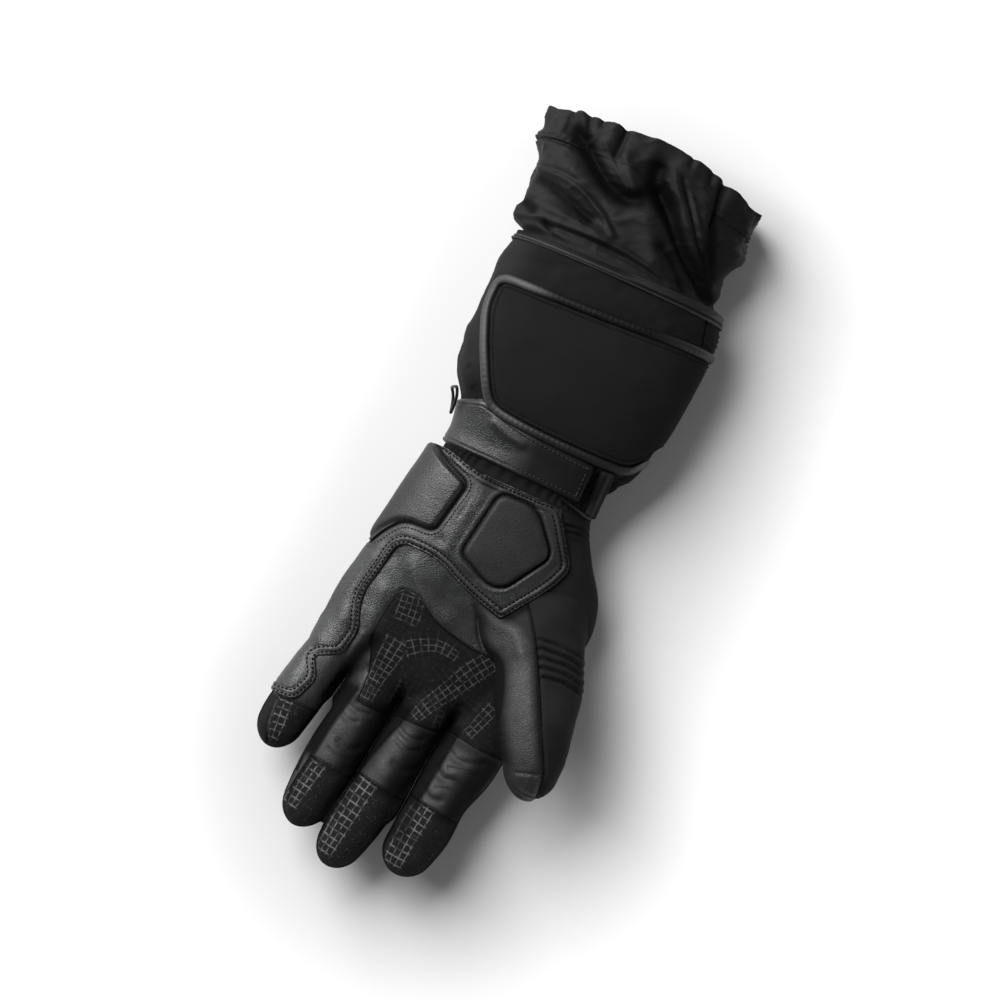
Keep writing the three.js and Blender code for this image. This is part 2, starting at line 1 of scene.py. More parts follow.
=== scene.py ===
"""A winter motorcycle glove for the left hand, lying palm up: leather palm, grip patches, softshell
back, gauntlet with closure flap, and gathered storm cuff. Shapes are worked out in millimetres."""
import math

import bpy
import numpy as np
from bpy.props import FloatProperty, FloatVectorProperty, PointerProperty
from mathutils import Matrix, Vector
from mathutils.bvhtree import BVHTree


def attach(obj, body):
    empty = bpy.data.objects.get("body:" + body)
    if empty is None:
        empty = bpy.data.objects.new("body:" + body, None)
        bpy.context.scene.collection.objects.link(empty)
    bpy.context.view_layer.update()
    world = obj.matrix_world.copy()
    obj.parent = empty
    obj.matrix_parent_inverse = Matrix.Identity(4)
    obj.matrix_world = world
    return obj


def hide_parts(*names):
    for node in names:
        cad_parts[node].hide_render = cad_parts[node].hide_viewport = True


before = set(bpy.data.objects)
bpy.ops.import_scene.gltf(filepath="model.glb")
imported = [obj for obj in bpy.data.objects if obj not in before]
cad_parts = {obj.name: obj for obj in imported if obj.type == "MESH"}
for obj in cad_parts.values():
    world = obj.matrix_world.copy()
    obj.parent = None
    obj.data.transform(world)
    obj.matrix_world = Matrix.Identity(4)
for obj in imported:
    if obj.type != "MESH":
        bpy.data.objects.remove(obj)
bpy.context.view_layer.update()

bl_info = {
    "name": "Gauntlet Glove",
    "version": (1, 0, 0),
    "blender": (4, 5, 0),
    "location": "View3D > Sidebar > Glove",
    "description": "Builds a padded leather motorcycle glove with a long gauntlet and a storm cuff",
    "category": "Add Mesh",
}

MM = 0.001
SKIN = 2.4  # a panel with its lining
GAP = 0.3  # between neighbouring pieces
SEAT = 0.24  # of layers over what they lie on
HAND_TOP = 10
WRIST_TOP = 34
GAUNTLET_TOP = 119.3
FACING_TOP = 124
STORM_BASE = 108
HEM_Y = 173
HEM_TOP = 191
BINDING_WIDE = 4.4
FLAP_LOWEST = 9  # heights above the floor at which the flap and the strap end
STRAP_LOWEST = 15
KNUCKLES = -92  # along Y, the seam across the finger backs
KEEPER_X = 33.6
FAR = 260  # beyond the glove on every side
VOXEL = 0.75  # of the skins that panels are cut from
HOLLOW_VOXEL = 1.8
PALM_SQUARE = 2.4  # powers of the superellipses
FINGER_SQUARE = 2.05
THUMB_SQUARE = 2.2
CUFF_AROUND = 340  # points round the cuff, and round the storm cuff
STORM_AROUND = 360
STORM_SKIN = 1.2
HEM_SKIN = 1.6
SQUARE = np.array([[1.0, 0.0]])  # the way across sections square to Y

# Sections along each limb: centre x, y, z, half width, rise above and below the centre.
PALM = [
    (-5, 26, 20, 40.5, 21, 22), (-5.3, 8, 20, 42.3, 21, 22), (-2.6, -8, 19.5, 48, 21, 21.5),
    (1.5, -26, 19, 55.2, 20.5, 21), (0.6, -46, 18, 58.6, 18.5, 20), (-6.2, -64, 17, 55.9, 16.5, 18.5),
    (-10, -80, 16.5, 54, 15, 16.5), (-12.2, -95, 16.5, 51.4, 12.8, 12.8),
    (-13.5, -104.5, 17.5, 50, 6, 10),
]
LITTLE = [
    (-49, -74, 16, 13, 13, 13), (-51.8, -92, 17, 12.4, 12.6, 12.8), (-54.4, -107, 19, 11.8, 12, 12.4),
    (-57.8, -123, 21.5, 12.4, 11.8, 12), (-60.6, -137, 23, 12, 11, 11),
    (-61.6, -152.3, 24, 10, 9.5, 9.5),
]
RING = [
    (-23.5, -80, 16, 13, 13.5, 13), (-25, -100, 17.5, 12.8, 13, 13.2),
    (-27.5, -119, 20, 13.2, 12.6, 12.8), (-30.8, -139, 23, 13.7, 12.2, 12.4),
    (-32.8, -159, 25.5, 13.3, 11.6, 11.6), (-35.4, -181.8, 26.5, 10.3, 9.5, 9.5),
]
MIDDLE = [
    (3.8, -82, 16, 13, 13.5, 13), (2.8, -103, 17.5, 12.5, 13, 13.2),
    (-0.6, -123, 20.5, 12, 12.6, 12.8), (-4.2, -144, 23.5, 12.5, 12.4, 12.4),
    (-8, -166, 26, 13.3, 11.8, 11.8), (-13.7, -193, 27.5, 10.3, 9.5, 9.5),
]
INDEX = [
    (30.5, -82, 16, 14.5, 13.8, 13), (31.4, -103, 17.5, 15, 13.4, 13.4),
    (29.4, -122, 20, 15.2, 13, 13), (24.8, -141, 22.5, 13.7, 12.6, 12.6),
    (22.6, -160, 24.5, 14.2, 12, 12), (17.5, -183.5, 26, 11.5, 9.5, 9.5),
]
FINGERS = (LITTLE, RING, MIDDLE, INDEX)
THUMB = [
    (32, -32, 23, 20, 16, 16), (38.5, -54, 31, 21.5, 15.5, 16), (46, -74, 39, 21.8, 15, 15),
    (51.3, -89.5, 44, 18.2, 14.5, 14), (56.5, -104, 46.5, 15, 13.5, 13),
    (61, -123.4, 47, 9.6, 11, 11),
]
CUFF = [
    (-4.5, 4, 20.5, 41.5, 21, 23), (-2.5, 22, 21, 39.5, 20.5, 23), (1.7, 38, 23, 45.6, 22.5, 25.5),
    (-1.1, 50, 25, 51.2, 24.5, 27.5), (-1.5, 62, 26, 53.7, 25.5, 28.5),
    (-0.7, 80, 26.5, 54.7, 26, 29), (0.3, 100, 26.5, 55.3, 26, 29), (0.8, 111, 26.5, 56, 26, 29),
    (1.5, 128, 26, 52.4, 25, 28.5),
]
STORM = [
    (-4.2, 128.5, 24.6, 52.2, 23.6, 26.6), (-4.9, 133, 24.5, 52.8, 23.5, 26.5),
    (-5.6, 142, 24, 51.3, 23, 26), (-3, 155, 24, 54.8, 23.5, 26), (-3.4, 163, 24, 54.4, 23, 26),
    (-4.9, 169, 23.5, 55.4, 22.3, 25.5), (-5.9, 174, 23, 56.8, 21.5, 25),
    (-5.2, 180, 22.8, 56.2, 21.5, 24.5), (-4.7, 191, 22.5, 56.8, 21.5, 24),
]

# How far the storm cuff's top edge lies below its highest place, over X.
HEM_BOW = [
    (-66, 6.6), (-50, 4.7), (-35, 4), (-20, 3.4), (-3, 2.4), (8, 3.3), (22, 5.6), (32, 8.8),
    (41, 11.2), (48, 12.8), (58, 14),
]

# Panel outlines in plan: corners with the radius that rounds each.
HEEL_OVERLAY = [
    (19, 10.2, 2), (23, 6, 3), (36.8, -14.5, 4), (32, -27, 8), (15.6, -50, 1.5), (-6, -44, 12),
    (-24, -35.5, 10), (-44, -35.5, 7), (-46.5, -52, 6), (-50, -67, 8), (-44, -83, 4),
    (-47, -96.5, 3), (-58.5, -102.5, 2.5), (-52.8, -112, 4), (-58.5, -126, 5), (-90, -126.5, 0),
    (-90, 15, 0), (-45, 15, 3), (-37.5, 14, 4), (-29, 11.3, 5), (-19, 9.6, 6), (6, 9.4, 6),
]
HEEL_PAD = [
    (-49, 16, 0), (-41, 8.5, 8), (-25.5, 2.2, 3), (-31, -23.7, 3), (-46, -24.5, 9), (-53, -33, 6),
    (-57, -41, 0), (-90, -41, 0), (-90, 16, 0),
]
THENAR_PAD = [
    (-8.5, 5, 5), (9.5, 6, 8), (25, -13, 5), (11, -35, 4), (3.5, -37, 6), (-14, -28.5, 4),
]
PALM_GRIP = [
    (-37.5, -83, 3), (-36.5, -70, 6), (-33.5, -56, 5), (-24, -56.5, 6), (-12, -64.5, 8),
    (8, -69.3, 8), (22, -69.5, 4), (60, -90, 0), (60, -114, 0), (16, -110, 0), (10, -112.5, 0),
    (-10, -113, 0), (-14, -115, 0), (-31, -114, 2), (-31.5, -98, 4),
]
SIDE_PANEL = [
    (17, 30, 0), (22, 7, 6), (36.8, -14.5, 4), (32, -27, 8), (24, -37, 2), (36, -54, 0),
    (90, -54, 0), (90, 30, 0),
]
THUMB_SEAM = [
    (10, -20, 0), (24, -36, 8), (36, -53, 12), (47, -74, 12), (63.5, -107, 10), (66, -140, 0),
    (120, -140, 0), (120, -20, 0),
]
TIPS = {
    "tip_little": [(-66.5, -127), (-44, -127), (-44, -156), (-62.5, -156)],
    "tip_ring": [(-41, -146.5), (-18, -149), (-19.5, -158), (-22, -175), (-24, -188), (-47, -186)],
    "tip_middle": [
        (-17.7, -145), (9.7, -149), (7.5, -168), (5, -198), (-25, -198), (-22, -175), (-19.5, -158),
    ],
    "tip_index": [(10, -145), (44, -149), (40, -190), (5.5, -190), (7.5, -168), (9.7, -149)],
}
FRONTS = {
    "front_middle": [
        (-12.3, -104), (14, -104), (11.3, -125), (9.5, -152), (-18.5, -152), (-15.5, -130),
    ],
    "front_index": [(14, -104), (50, -104), (50, -152), (9.5, -152), (11.3, -125)],
}
FINGER_BACKS = {
    "back_little": [(-90, -92), (-38.5, -92), (-44.3, -123.5), (-48, -160), (-90, -160)],
    "back_ring": [
        (-38.5, -92), (-12, -92), (-12, -98), (-15.5, -130), (-19.5, -158), (-25, -190),
        (-52, -190), (-44.3, -123.5),
    ],
    "back_middle": [
        (-12, -92), (16, -92), (16, -97), (10.8, -125), (9.3, -150), (7.5, -168), (4, -200),
        (-26, -200), (-25, -190), (-19.5, -158), (-15.5, -130), (-12, -98),
    ],
    "back_index": [
        (16, -92), (90, -92), (90, -200), (4, -200), (7.5, -168), (9.3, -150), (10.8, -125),
        (16, -97),
    ],
}
# The height, along Y, of the seam between the palm side and the back.
PARTING = [(30, 20), (-60, 17.5), (-90, 17.5), (-120, 21.5), (-150, 26), (-200, 28.5)]
FLAP = [
    (90, 109, 0), (48, 106.6, 20), (10, 103, 20), (-30, 101.5, 12), (-52.5, 101.5, 9),
    (-53, 83, 9), (-47, 67, 8), (-37.5, 47.5, 9), (-30, 38, 10), (-10, 35.5, 12), (20, 35, 20),
    (42.5, 36, 9), (51.5, 45.5, 7), (57, 56, 6), (90, 56, 0),
]
STRAP = [
    (-33, 43, 3), (-48, 37.5, 3), (-46.5, 16.5, 5), (-20, 16.4, 6), (27, 15.5, 2), (27, 34.5, 2),
    (-10, 36.5, 10),
]
RING_BAR = [(61, 14.2), (48, 12.8), (35, 11.6), (23, 11.4)]
HOOK = [(166, 30), (170, 42), (156, 43)]

# Lines in plan along which neighbouring fingers touch, and the height along Y where they part.
MIDLINES = [
    (-121, [(-38.5, -92), (-41, -106), (-44.3, -123.5)]),
    (-170, [(-11.5, -98), (-15.5, -130), (-19.5, -158), (-22, -175)]),
    (-162, [(15, -97), (11.3, -125), (9.6, -150), (7.5, -168)]),
]
# The leather gusset that widens the thumb's root over the palm.
GUSSET = [
    (1, -48.5, 29, 4, 6, 8), (9, -52, 30.5, 8, 7.6, 9), (19, -56.5, 32.5, 11, 9.6, 11),
    (30, -62, 35, 13, 11, 13),
]
THUMB_REGION = [
    (-4, -44, 0), (4.8, -52.5, 8), (9.6, -61, 8), (15.2, -67, 6), (22, -69, 4), (28, -88, 8),
    (30, -150, 0), (90, -150, 0), (90, -12, 0), (38, -12, 0), (30, -24, 0), (15, -46, 0),
]

# The thumb's leather between the fold that catches the light and the seam, which gets painted shade.
THUMB_DARK = [
    (4, -47.5), (18, -50), (26, -51), (31.5, -55.5), (36, -63), (41, -73), (46, -83), (51, -93),
    (57, -104), (59, -108), (75, -108), (75, -30), (0, -30),
]

# Strips of grip grid, laid where the glossy lines catch the light, their light grey a painted
# highlight on real lines: columns, row height, strength, then the middle line as x, y, half width.
GRIDS = {
    "tip_little": [(2, 3.7, 1, (-62.6, -127.8, 3.4), (-62, -137, 3.3), (-61, -147.5, 2.3))],
    "tip_ring": [(3, 3.9, 1, (-37.2, -148.5, 4.8), (-39, -158, 4.5), (-40.7, -172, 3.4))],
    "tip_middle": [(3, 3.9, 1, (-11.3, -147, 5.2), (-13.4, -160, 5), (-16.6, -186, 3.9))],
    "tip_index": [(3, 3.9, 1, (18.8, -147, 5.1), (16.9, -160, 5), (15.7, -178.5, 4.2))],
    "palm_grip": [
        (4, 3.1, 0.85, (-26.5, -57.5, 5.4), (-25.6, -65, 5.8), (-25.5, -72.5, 5.6)),
        (3, 3.1, 1, (-24.8, -80, 5.8), (-26, -90, 5), (-27.2, -101, 3.7), (-27.6, -112, 2.8)),
        (2, 3.7, 0.9, (-20, -81.5, 3.4), (-14.5, -77.5, 3), (-6, -74, 2.6), (5, -75.2, 2.2)),
        (3, 3.5, 1, (20, -70.5, 4.8), (13.5, -80, 5), (7, -92, 4.3), (0.5, -103, 3.5),
         (-2.5, -110, 2.8)),
        (2, 3.4, 0.8, (30, -91, 3), (27, -99, 2.7), (24, -107, 2.4)),
        (1, 2.9, 0.5, (-14.6, -97, 1.5), (-15.5, -113, 1.6)),
        (1, 2.9, 0.45, (8, -102, 1.5), (8.6, -112, 1.6)),
    ],
}

# The edge of the thumb's left side, which turns away under the light and gets painted shade.
THUMB_SIDE = [
    (21, -69), (25.5, -78), (27.5, -84), (31, -92), (38, -103), (42, -108), (46.5, -115), (55, -124),
]
# Cloth strips beside the fingers, darkened on the leather as their cloth's own darker tone with
# painted shade over it: the seam that each lies along, and how far left it reaches.
SIDE_STRIPS = [("ring_side", 9), ("middle_side", 6), ("index_side", 6)]
# Lines beyond which each finger's front gets painted shade towards its thumb side.
FRONT_DARK = [
    [(-25, -118), (-25.5, -130), (-28, -146)],
    [(0, -118), (-1, -130), (-4, -146)],
    [(32, -118), (29, -130), (27, -146)],
]
# Dark pockets of painted shade between the roots of the fingers, and painted shade in the hollow of
# the palm.
LITTLE_POCKET = [(-36, -84), (-39.5, -96), (-42, -108), (-44, -118)]
CROTCHES = [
    [(-12.9, -101.5), (-13.6, -109), (-15, -118), (-17, -134)],
    [(15, -100.5), (14, -108), (12.4, -118), (11, -133)],
]
PALM_HOLLOW = [(-25, -48.5), (-14, -51), (-3, -54), (7, -61)]

# Folds and grooves in plan: spread, rise, then the points of the line.
HAND_FOLDS = [
    # soft folds of the palm
    (6, 1.3, (-32, -46), (-20, -53), (-8, -60)),
    (7, -1.4, (-12, -50), (2, -56), (10, -60)),
    (5, -0.9, (-43, -42), (-36, -50), (-34, -55)),
    (4, 0.9, (-41, -60), (-41, -76), (-39, -86)),
    (3.2, -1.7, (-37, -85.5), (-39.5, -96), (-42, -108), (-44, -118)),
    (1.6, 0.6, (-41.5, -84), (-43.5, -96)),
    (5, 1.0, (-47, -100), (-50, -112), (-51, -120)),
    # dark hollows at the roots of the fingers
    (2.4, -1.3, (-12.5, -99), (-13.4, -108), (-14.8, -117)),
    (2.4, -1.3, (15.6, -98), (14, -107), (12.6, -116)),
    # creases across the fingers
    (1.3, -0.8, (-36, -116.5), (-30, -118.5), (-23, -117.5)),
    (1.1, -0.7, (-37, -121.5), (-32, -124), (-27, -123)),
    (1.6, -0.8, (-31, -135), (-26, -137), (-21, -134)),
    (1.3, -0.4, (-35, -140), (-30, -141.5), (-24, -141)),
    (1.3, -0.9, (-9, -117), (-2, -120), (5, -118.5)),
    (1.1, -0.8, (-7, -123), (0, -125.5), (6, -123.5)),
    (1.6, -0.8, (-3, -134), (3, -135.5), (8, -132)),
    (1.7, -1.0, (19, -118), (25, -120.5), (36, -117.5)),
    (1.0, -0.7, (22, -125.5), (29, -123.5), (35, -124)),
    (1.8, -1.1, (16, -127.5), (21, -131), (27, -130), (34, -133)),
    (1.0, -0.6, (20, -136.5), (27, -134.5), (32, -136.5)),
    (1.6, -0.8, (14.5, -139), (19, -142), (25, -141)),
    # light bulges between the creases
    (6, 0.7, (-34, -128), (-27, -130)), (6, 0.7, (-5, -126), (3, -128)),
    (4, 0.6, (20, -124.5), (25, -125.5)), (4, 0.6, (18, -135.5), (21, -137)),
    (3.5, 0.5, (-33, -138), (-29, -140)), (3.5, 0.5, (-8, -138), (-4, -140)),
    # gathers of the side panel below the wrist
    (0.8, 1.1, (25, 4.9), (33, 6.4), (42, 7)), (0.6, -0.9, (25.6, 3.6), (34, 4.9), (42, 5.4)),
    (0.8, 1.1, (26, 2.3), (34, 3.4), (43, 3.6)), (0.6, -0.9, (27, 1), (36, 2), (44, 2)),
    (0.8, 0.8, (28, -0.4), (36, 0.6), (45, 0.4)),
]
HAND_SEAMS = {
    "grip_top": (
        0.9, -0.9, (-33.6, -57), (-30.4, -56), (-23.2, -57), (-12, -64.5), (8, -69.3), (22, -69.5)),
    "grip_side": (0.9, -0.9, (-33.6, -57), (-36.5, -70), (-37, -83), (-32, -95), (-31, -114)),
    "grip_ring": (0.7, -0.3, (-31, -114), (-14, -115)),
    "grip_middle": (0.7, -0.3, (-10, -113), (10, -112.5)),
    "grip_index": (0.7, -0.3, (16, -110), (48, -113)),
    "ring_tip": (0.8, -0.8, (-41, -146.5), (-16.5, -149)),
    "middle_tip": (0.8, -0.8, (-17.5, -145), (9.5, -149)),
    "index_tip": (0.8, -0.8, (10, -145), (44, -149)),
    "little_tip": (0.8, -0.8, (-72, -127), (-44, -127)),
    "little_side": (0.8, -0.9, (-66.7, -127), (-66, -140), (-62.7, -149)),
    "ring_side": (1.0, -1.0, (-34.3, -109), (-38.7, -129), (-41, -146.5), (-44, -163), (-43, -172)),
    "middle_side": (1.0, -1.0, (-7.3, -110), (-13.3, -129), (-17.5, -145), (-20, -160)),
    "index_side": (1.0, -1.0, (18.5, -111), (16.3, -129), (14.3, -145)),
    "thumb_root": (0.8, -0.9, (0, -46), (4.6, -52.8), (9.3, -61.5), (15, -67.6), (22, -70)),
}
TIP_SEAMS = ("ring_tip", "middle_tip", "index_tip", "little_tip")
THUMB_FOLDS = [
    # the fold that catches the light, and the hollow beside it
    (3.3, 1.0, (6, -50.2), (18, -51.8), (26, -54), (31, -60)),
    (5.5, 0.9, (33, -60), (38, -68), (43, -78), (48, -88), (53, -97), (58, -106)),
    (4.5, -0.8, (12, -57), (20, -62), (26, -72), (31, -86)),
    # grooves of the flex panel
    (0.75, -1.6, (36, -50.6), (47, -49.6), (59, -51)),
    (0.75, -2.0, (38, -54.4), (52, -53.4), (63, -56)),
    (0.75, -2.0, (40, -58.3), (54, -57), (64.5, -59.6)),
    (0.75, -2.0, (42, -62.1), (55, -60.9), (65.5, -63.6)),
    (0.75, -1.9, (44.5, -66), (56, -64.6), (66, -67)),
    (1.3, 0.7, (38, -52.4), (50, -51.6), (62, -53.6)),
    (1.3, 0.7, (40, -56.3), (54, -55.2), (64, -57.8)),
    (1.3, 0.7, (42, -60.1), (55, -59), (65, -61.6)),
    (1.3, 0.7, (44, -64), (56, -62.8), (66, -65.3)),
    # the tip patch
    (0.6, -0.6, (51, -111.6), (57, -109.4), (63.6, -107)),
    (0.6, -0.6, (53, -118.4), (60, -119.3), (67, -118.6)),
    (0.6, -0.6, (54.5, -120.8), (61, -121.5), (66.5, -120.6)),
    (1.2, 0.45, (57.5, -111), (58.5, -117.5)), (1.1, 0.4, (61.3, -109.5), (61.8, -117.5)),
]
THUMB_SEAMS = [
    (1.0, -1.0, (24, -36), (36, -53), (47, -74), (55, -90.5), (63.5, -107), (65.5, -122)),
]
OVERLAY_FOLDS = [
    (4, 0.7, (-18, 2), (-20, -14), (-22, -30)), (3, -0.5, (-26, -27), (-24, -33)),
    (3.5, -0.8, (-56, -46), (-60, -62), (-62, -80)), (4, 0.6, (-52, -48), (-55, -64), (-52, -80)),
    (2.5, -0.6, (-66, -96), (-60, -99), (-55, -99)), (3, 0.6, (-64, -106), (-62, -118)),
    (2.2, -0.6, (24, -30), (28, -20), (31, -14)), (3, 0.5, (-40, -31), (-20, -31), (-8, -35)),
    (1.2, -0.35, (-21, 4), (-20.5, -4), (-22, -12)), (1.0, -0.25, (-18.5, 3), (-18, -6)),
]
CUFF_FOLDS = [
    (3.5, -1.2, (5, 117), (35, 114), (45, 110)), (4, 0.7, (8, 113), (30, 110)),
    (3, -0.8, (-50, 110), (-30, 112)), (5, -1.4, (-52, 60), (-46, 50), (-38, 44)),
    (2.5, 0.8, (-54, 72), (-50, 56), (-43, 47)), (2, -1.2, (-47, 53), (-40, 45)),
    # the ribbed gusset at the thumb side
    (0.9, -1.2, (47, 121), (49, 115), (51, 108)),
    (0.7, 0.7, (50, 117.5), (57, 116)), (0.7, 0.7, (50.5, 115), (57, 113.5)),
    (0.7, 0.7, (51, 112.5), (57, 111)), (0.7, 0.7, (51.5, 110), (57, 108.5)),
]
STRAP_FOLDS = [
    (2.2, 1.0, (-24, 35), (-17, 32.5), (-9, 31)), (4, -0.4, (-40, 26), (-24, 24), (-8, 27)),
]
# Folds of the storm cuff: broad valleys, lit ridges, then the pleats of the hem.
STORM_FOLDS = [
    (4.6, -4.8, (-45, 176.5), (-37, 170), (-30, 164.5), (-21, 159), (-12, 156.8), (-6, 158.5)),
    (5.4, -4.6, (-2.5, 176), (-1.5, 170), (3, 165), (9, 160.5)),
    (3.4, -4.2, (3, 166), (10, 160), (16, 152.5), (24, 144.5), (34, 136.5), (44, 129.5)),
    (4.8, -2.8, (33, 158), (36, 149), (41, 140)),
    (3.2, -3.0, (-52, 149.5), (-41, 146.5), (-30, 143), (-23, 140.8)),
    (1.3, -0.7, (-52, 156), (-41, 155.8), (-28, 152.4), (-17, 146.9), (-9.5, 139.5)),
    (2.6, -2.4, (13, 143), (22, 138), (31, 128)),
    (1.5, -1.3, (-57, 128.6), (-42, 130), (-24, 131), (-8, 130.6), (8, 129), (22, 126.8)),
    (1.2, 1.3, (-57, 129.6), (-48, 132.2), (-32, 133), (-18, 133), (-6, 133.4), (8, 131.5),
     (24, 127.6)),
    (1.1, 1.0, (2, 173.5), (12, 162.5), (20, 153), (31, 142.5), (42, 134)),
    (1.0, 0.9, (17, 170), (26, 158), (34, 146), (43, 136)),
    (1.2, -1.2, (10, 176), (19, 164), (27, 152), (36, 142.5)),
    (0.9, 0.7, (-31, 177), (-22, 168), (-13, 160.5)),
    (1.6, -2.0, (-42, 131), (-37, 127), (-34, 124)),
    (3.0, -3.4, (-60, 139), (-54, 137), (-50, 135)),
    (3.4, 2.2, (-19, 175), (-13, 166), (-6, 158.5)),
    (5.0, 1.8, (-58, 165), (-48, 161), (-36, 158)),
    (1.5, 1.5, (-54, 154.3), (-41, 153.6), (-29, 150.3), (-19, 144.8), (-10, 138)),
    (3.2, 2.0, (-48, 138), (-30, 137), (-12, 135)),
    (3.4, 2.4, (5, 176), (17, 160), (30, 146.5), (43, 136)),
    (3.6, 1.6, (24, 170), (30, 160), (34, 150)),
    (1.8, 0.8, (0, 128.5), (14, 127.5), (26, 126)),
    (3.6, 1.6, (47, 166), (49, 156), (49, 148)),
    (5.0, 1.2, (2, 150), (8, 142), (12, 136)),
    (1.7, -1.7, (-51.5, 187), (-51.5, 176)), (2.2, 1.2, (-46.5, 186), (-43, 178)),
    (1.5, -1.3, (-43, 187), (-40, 177)), (1.3, -1.2, (-36, 190), (-36, 184.5)),
    (2.0, -2.3, (-24.5, 190), (-24, 174)), (1.4, -1.1, (10.7, 192), (10.7, 184)),
    (1.7, -1.2, (22, 188), (22.5, 180)), (2.0, -2.5, (29.5, 186), (30, 172), (31.5, 162)),
    (1.4, -1.4, (50, 179), (49.5, 171)), (3.0, 1.0, (-30, 188), (-30, 178)),
    (3.2, 1.0, (36, 184), (37, 173)), (4.5, 0.8, (-8, 190), (-8, 180)),
]


# Shapes as arrays


def rows_at(rows, u):
    """Rows of a table at positions u, by a cubic through the neighbouring rows."""
    rows = np.asarray(rows, float)
    last = len(rows) - 1
    i = np.clip(np.floor(u).astype(int), 0, last - 1)
    a, b, c, d = rows[np.maximum(i - 1, 0)], rows[i], rows[i + 1], rows[np.minimum(i + 2, last)]
    t = (u - i)[:, None]
    m0, m1 = (c - a) / 2, (d - b) / 2
    return ((2 * (b - c) + m0 + m1) * t + (3 * (c - b) - 2 * m0 - m1)) * t * t + m0 * t + b


def rows_where(rows, y):
    """Rows of a table whose second column rises, at heights y."""
    u = np.linspace(0, len(rows) - 1, 3000)
    return rows_at(rows, np.interp(y, rows_at(rows, u)[:, 1], u))


def curve(points, step=0.5):
    """A smooth line through points, resampled at an even step."""
    points = np.asarray(points, float)
    if len(points) > 2:
        points = rows_at(points, np.linspace(0, len(points) - 1, 12 * len(points)))
    return resample(points, step)


def resample(line, step):
    """The line at an even step: its points interpolated over the length run so far."""
    along = np.concatenate([[0], np.cumsum(np.linalg.norm(np.diff(line, axis=0), axis=1))])
    count = max(int(round(along[-1] / step)), 1)
    s = np.linspace(0, along[-1], count + 1)
    return np.stack([np.interp(s, along, line[:, k]) for k in range(line.shape[1])], 1)


def looped(line):
    """A closed line: its points, and the first one again."""
    return np.concatenate([line, line[:1]])


def power(v, e):
    """The sign of v times its size to the power e."""
    return np.sign(v) * np.abs(v) ** e


def sections(rows, across, angles, offset, squareness, floor):
    """Points by section and angle: half width times cos to the power 2/n, rise times sin to the
    same power, and no place below a floor."""
    c, s = power(np.cos(angles), 2 / squareness), power(np.sin(angles), 2 / squareness)
    x, y, z, half, up, down = (rows[:, k:k + 1] for k in range(6))
    side = (half + offset) * c
    rise = np.where(s > 0, up + offset, down + offset) * s
    return np.stack([
        x + side * across[:, 0:1], y + side * across[:, 1:2], np.maximum(z + rise, floor)], -1)


def limb(rows, offset=0.0, along=90, around=110, tip=12.0, squareness=2.3):
    """A limb closed at both ends: sections square to its line and a tip rounded as a quarter circle,
    or with tip 0 sections square to Y and flat ends."""
    last = len(rows) - 1
    u = last * (1 - (1 - np.linspace(0, 1, along + 1)) ** (1.35 if tip else 1))
    r = rows_at(rows, u)
    way = (rows_at(rows, np.minimum(u + 0.05, last)) - rows_at(rows, np.maximum(u - 0.05, 0)))[:, :2]
    if not tip:
        way[:, 0] = 0
    way /= np.linalg.norm(way, axis=1)[:, None]
    across = np.stack([-way[:, 1], way[:, 0]], 1)
    if tip:
        left = np.hypot(r[-1, 0] - r[:, 0], r[-1, 1] - r[:, 1])
        near = np.minimum(left / (tip + offset), 1)[:, None]
        keep = np.maximum(np.sqrt(1 - (1 - near) ** 2), 0.02)
        r[:, 3:] = (r[:, 3:] + offset) * keep - offset
        r[:, :2] += way * offset * (1 - near)
    else:
        r[-1, :2] += way[-1] * offset
    r[0, :2] -= way[0] * offset
    angles = np.linspace(0, 2 * math.pi, around, endpoint=False)[None]
    grid = sections(r, across, angles, offset, squareness, max(0.0, -offset))
    return capped(grid)


def loop_quads(n, m, start=0, closed=True):
    """Faces of a grid of n rows of m points."""
    i, j = np.meshgrid(np.arange(n - 1), np.arange(m if closed else m - 1), indexing="ij")
    i, j = i.ravel(), j.ravel()
    k = (j + 1) % m
    return start + np.stack([i * m + j, i * m + k, (i + 1) * m + k, (i + 1) * m + j], 1)


def capped(grid):
    """A tube of loops, closed at its ends by fans to their centres."""
    n, m = grid.shape[:2]
    verts = np.concatenate([grid.reshape(-1, 3), grid[0].mean(0)[None], grid[-1].mean(0)[None]])
    j = np.arange(m)
    k = (j + 1) % m
    first = np.stack([k, j, np.full(m, n * m)], 1)
    end = np.stack([j, k, np.full(m, n * m + 1)], 1) + [(n - 1) * m, (n - 1) * m, 0]
    return outward(verts, [loop_quads(n, m), first, end])


def wall(outer, inner):
    """The wall between two stacks of loops, closed at both ends by rims."""
    n, m = outer.shape[:2]
    verts = np.concatenate([outer.reshape(-1, 3), inner.reshape(-1, 3)])
    j = np.arange(m)
    k = (j + 1) % m
    size, end = n * m, (n - 1) * m
    groups = [
        loop_quads(n, m), loop_quads(n, m, size)[:, ::-1],
        np.stack([j, j + size, k + size, k], 1),
        np.stack([j + end, k + end, k + size + end, j + size + end], 1),
    ]
    return outward(verts, groups)


def outward(verts, groups):
    """The same shape with its faces turned out, by the sign of its volume."""
    volume = 0.0
    for g in groups:
        for k in range(1, g.shape[1] - 1):
            a, b, c = verts[g[:, 0]], verts[g[:, k]], verts[g[:, k + 1]]
            volume += np.einsum("ij,ij->", a, np.cross(b, c))
    return verts, [g if volume > 0 else g[:, ::-1] for g in groups]


def joined(shapes):
    """Several shapes as one: faces count on from the points before them."""
    verts, groups, start = [], [], 0
    for v, g in shapes:
        verts.append(v)
        groups += [x + start for x in g]
        start += len(v)
    return np.concatenate(verts), groups


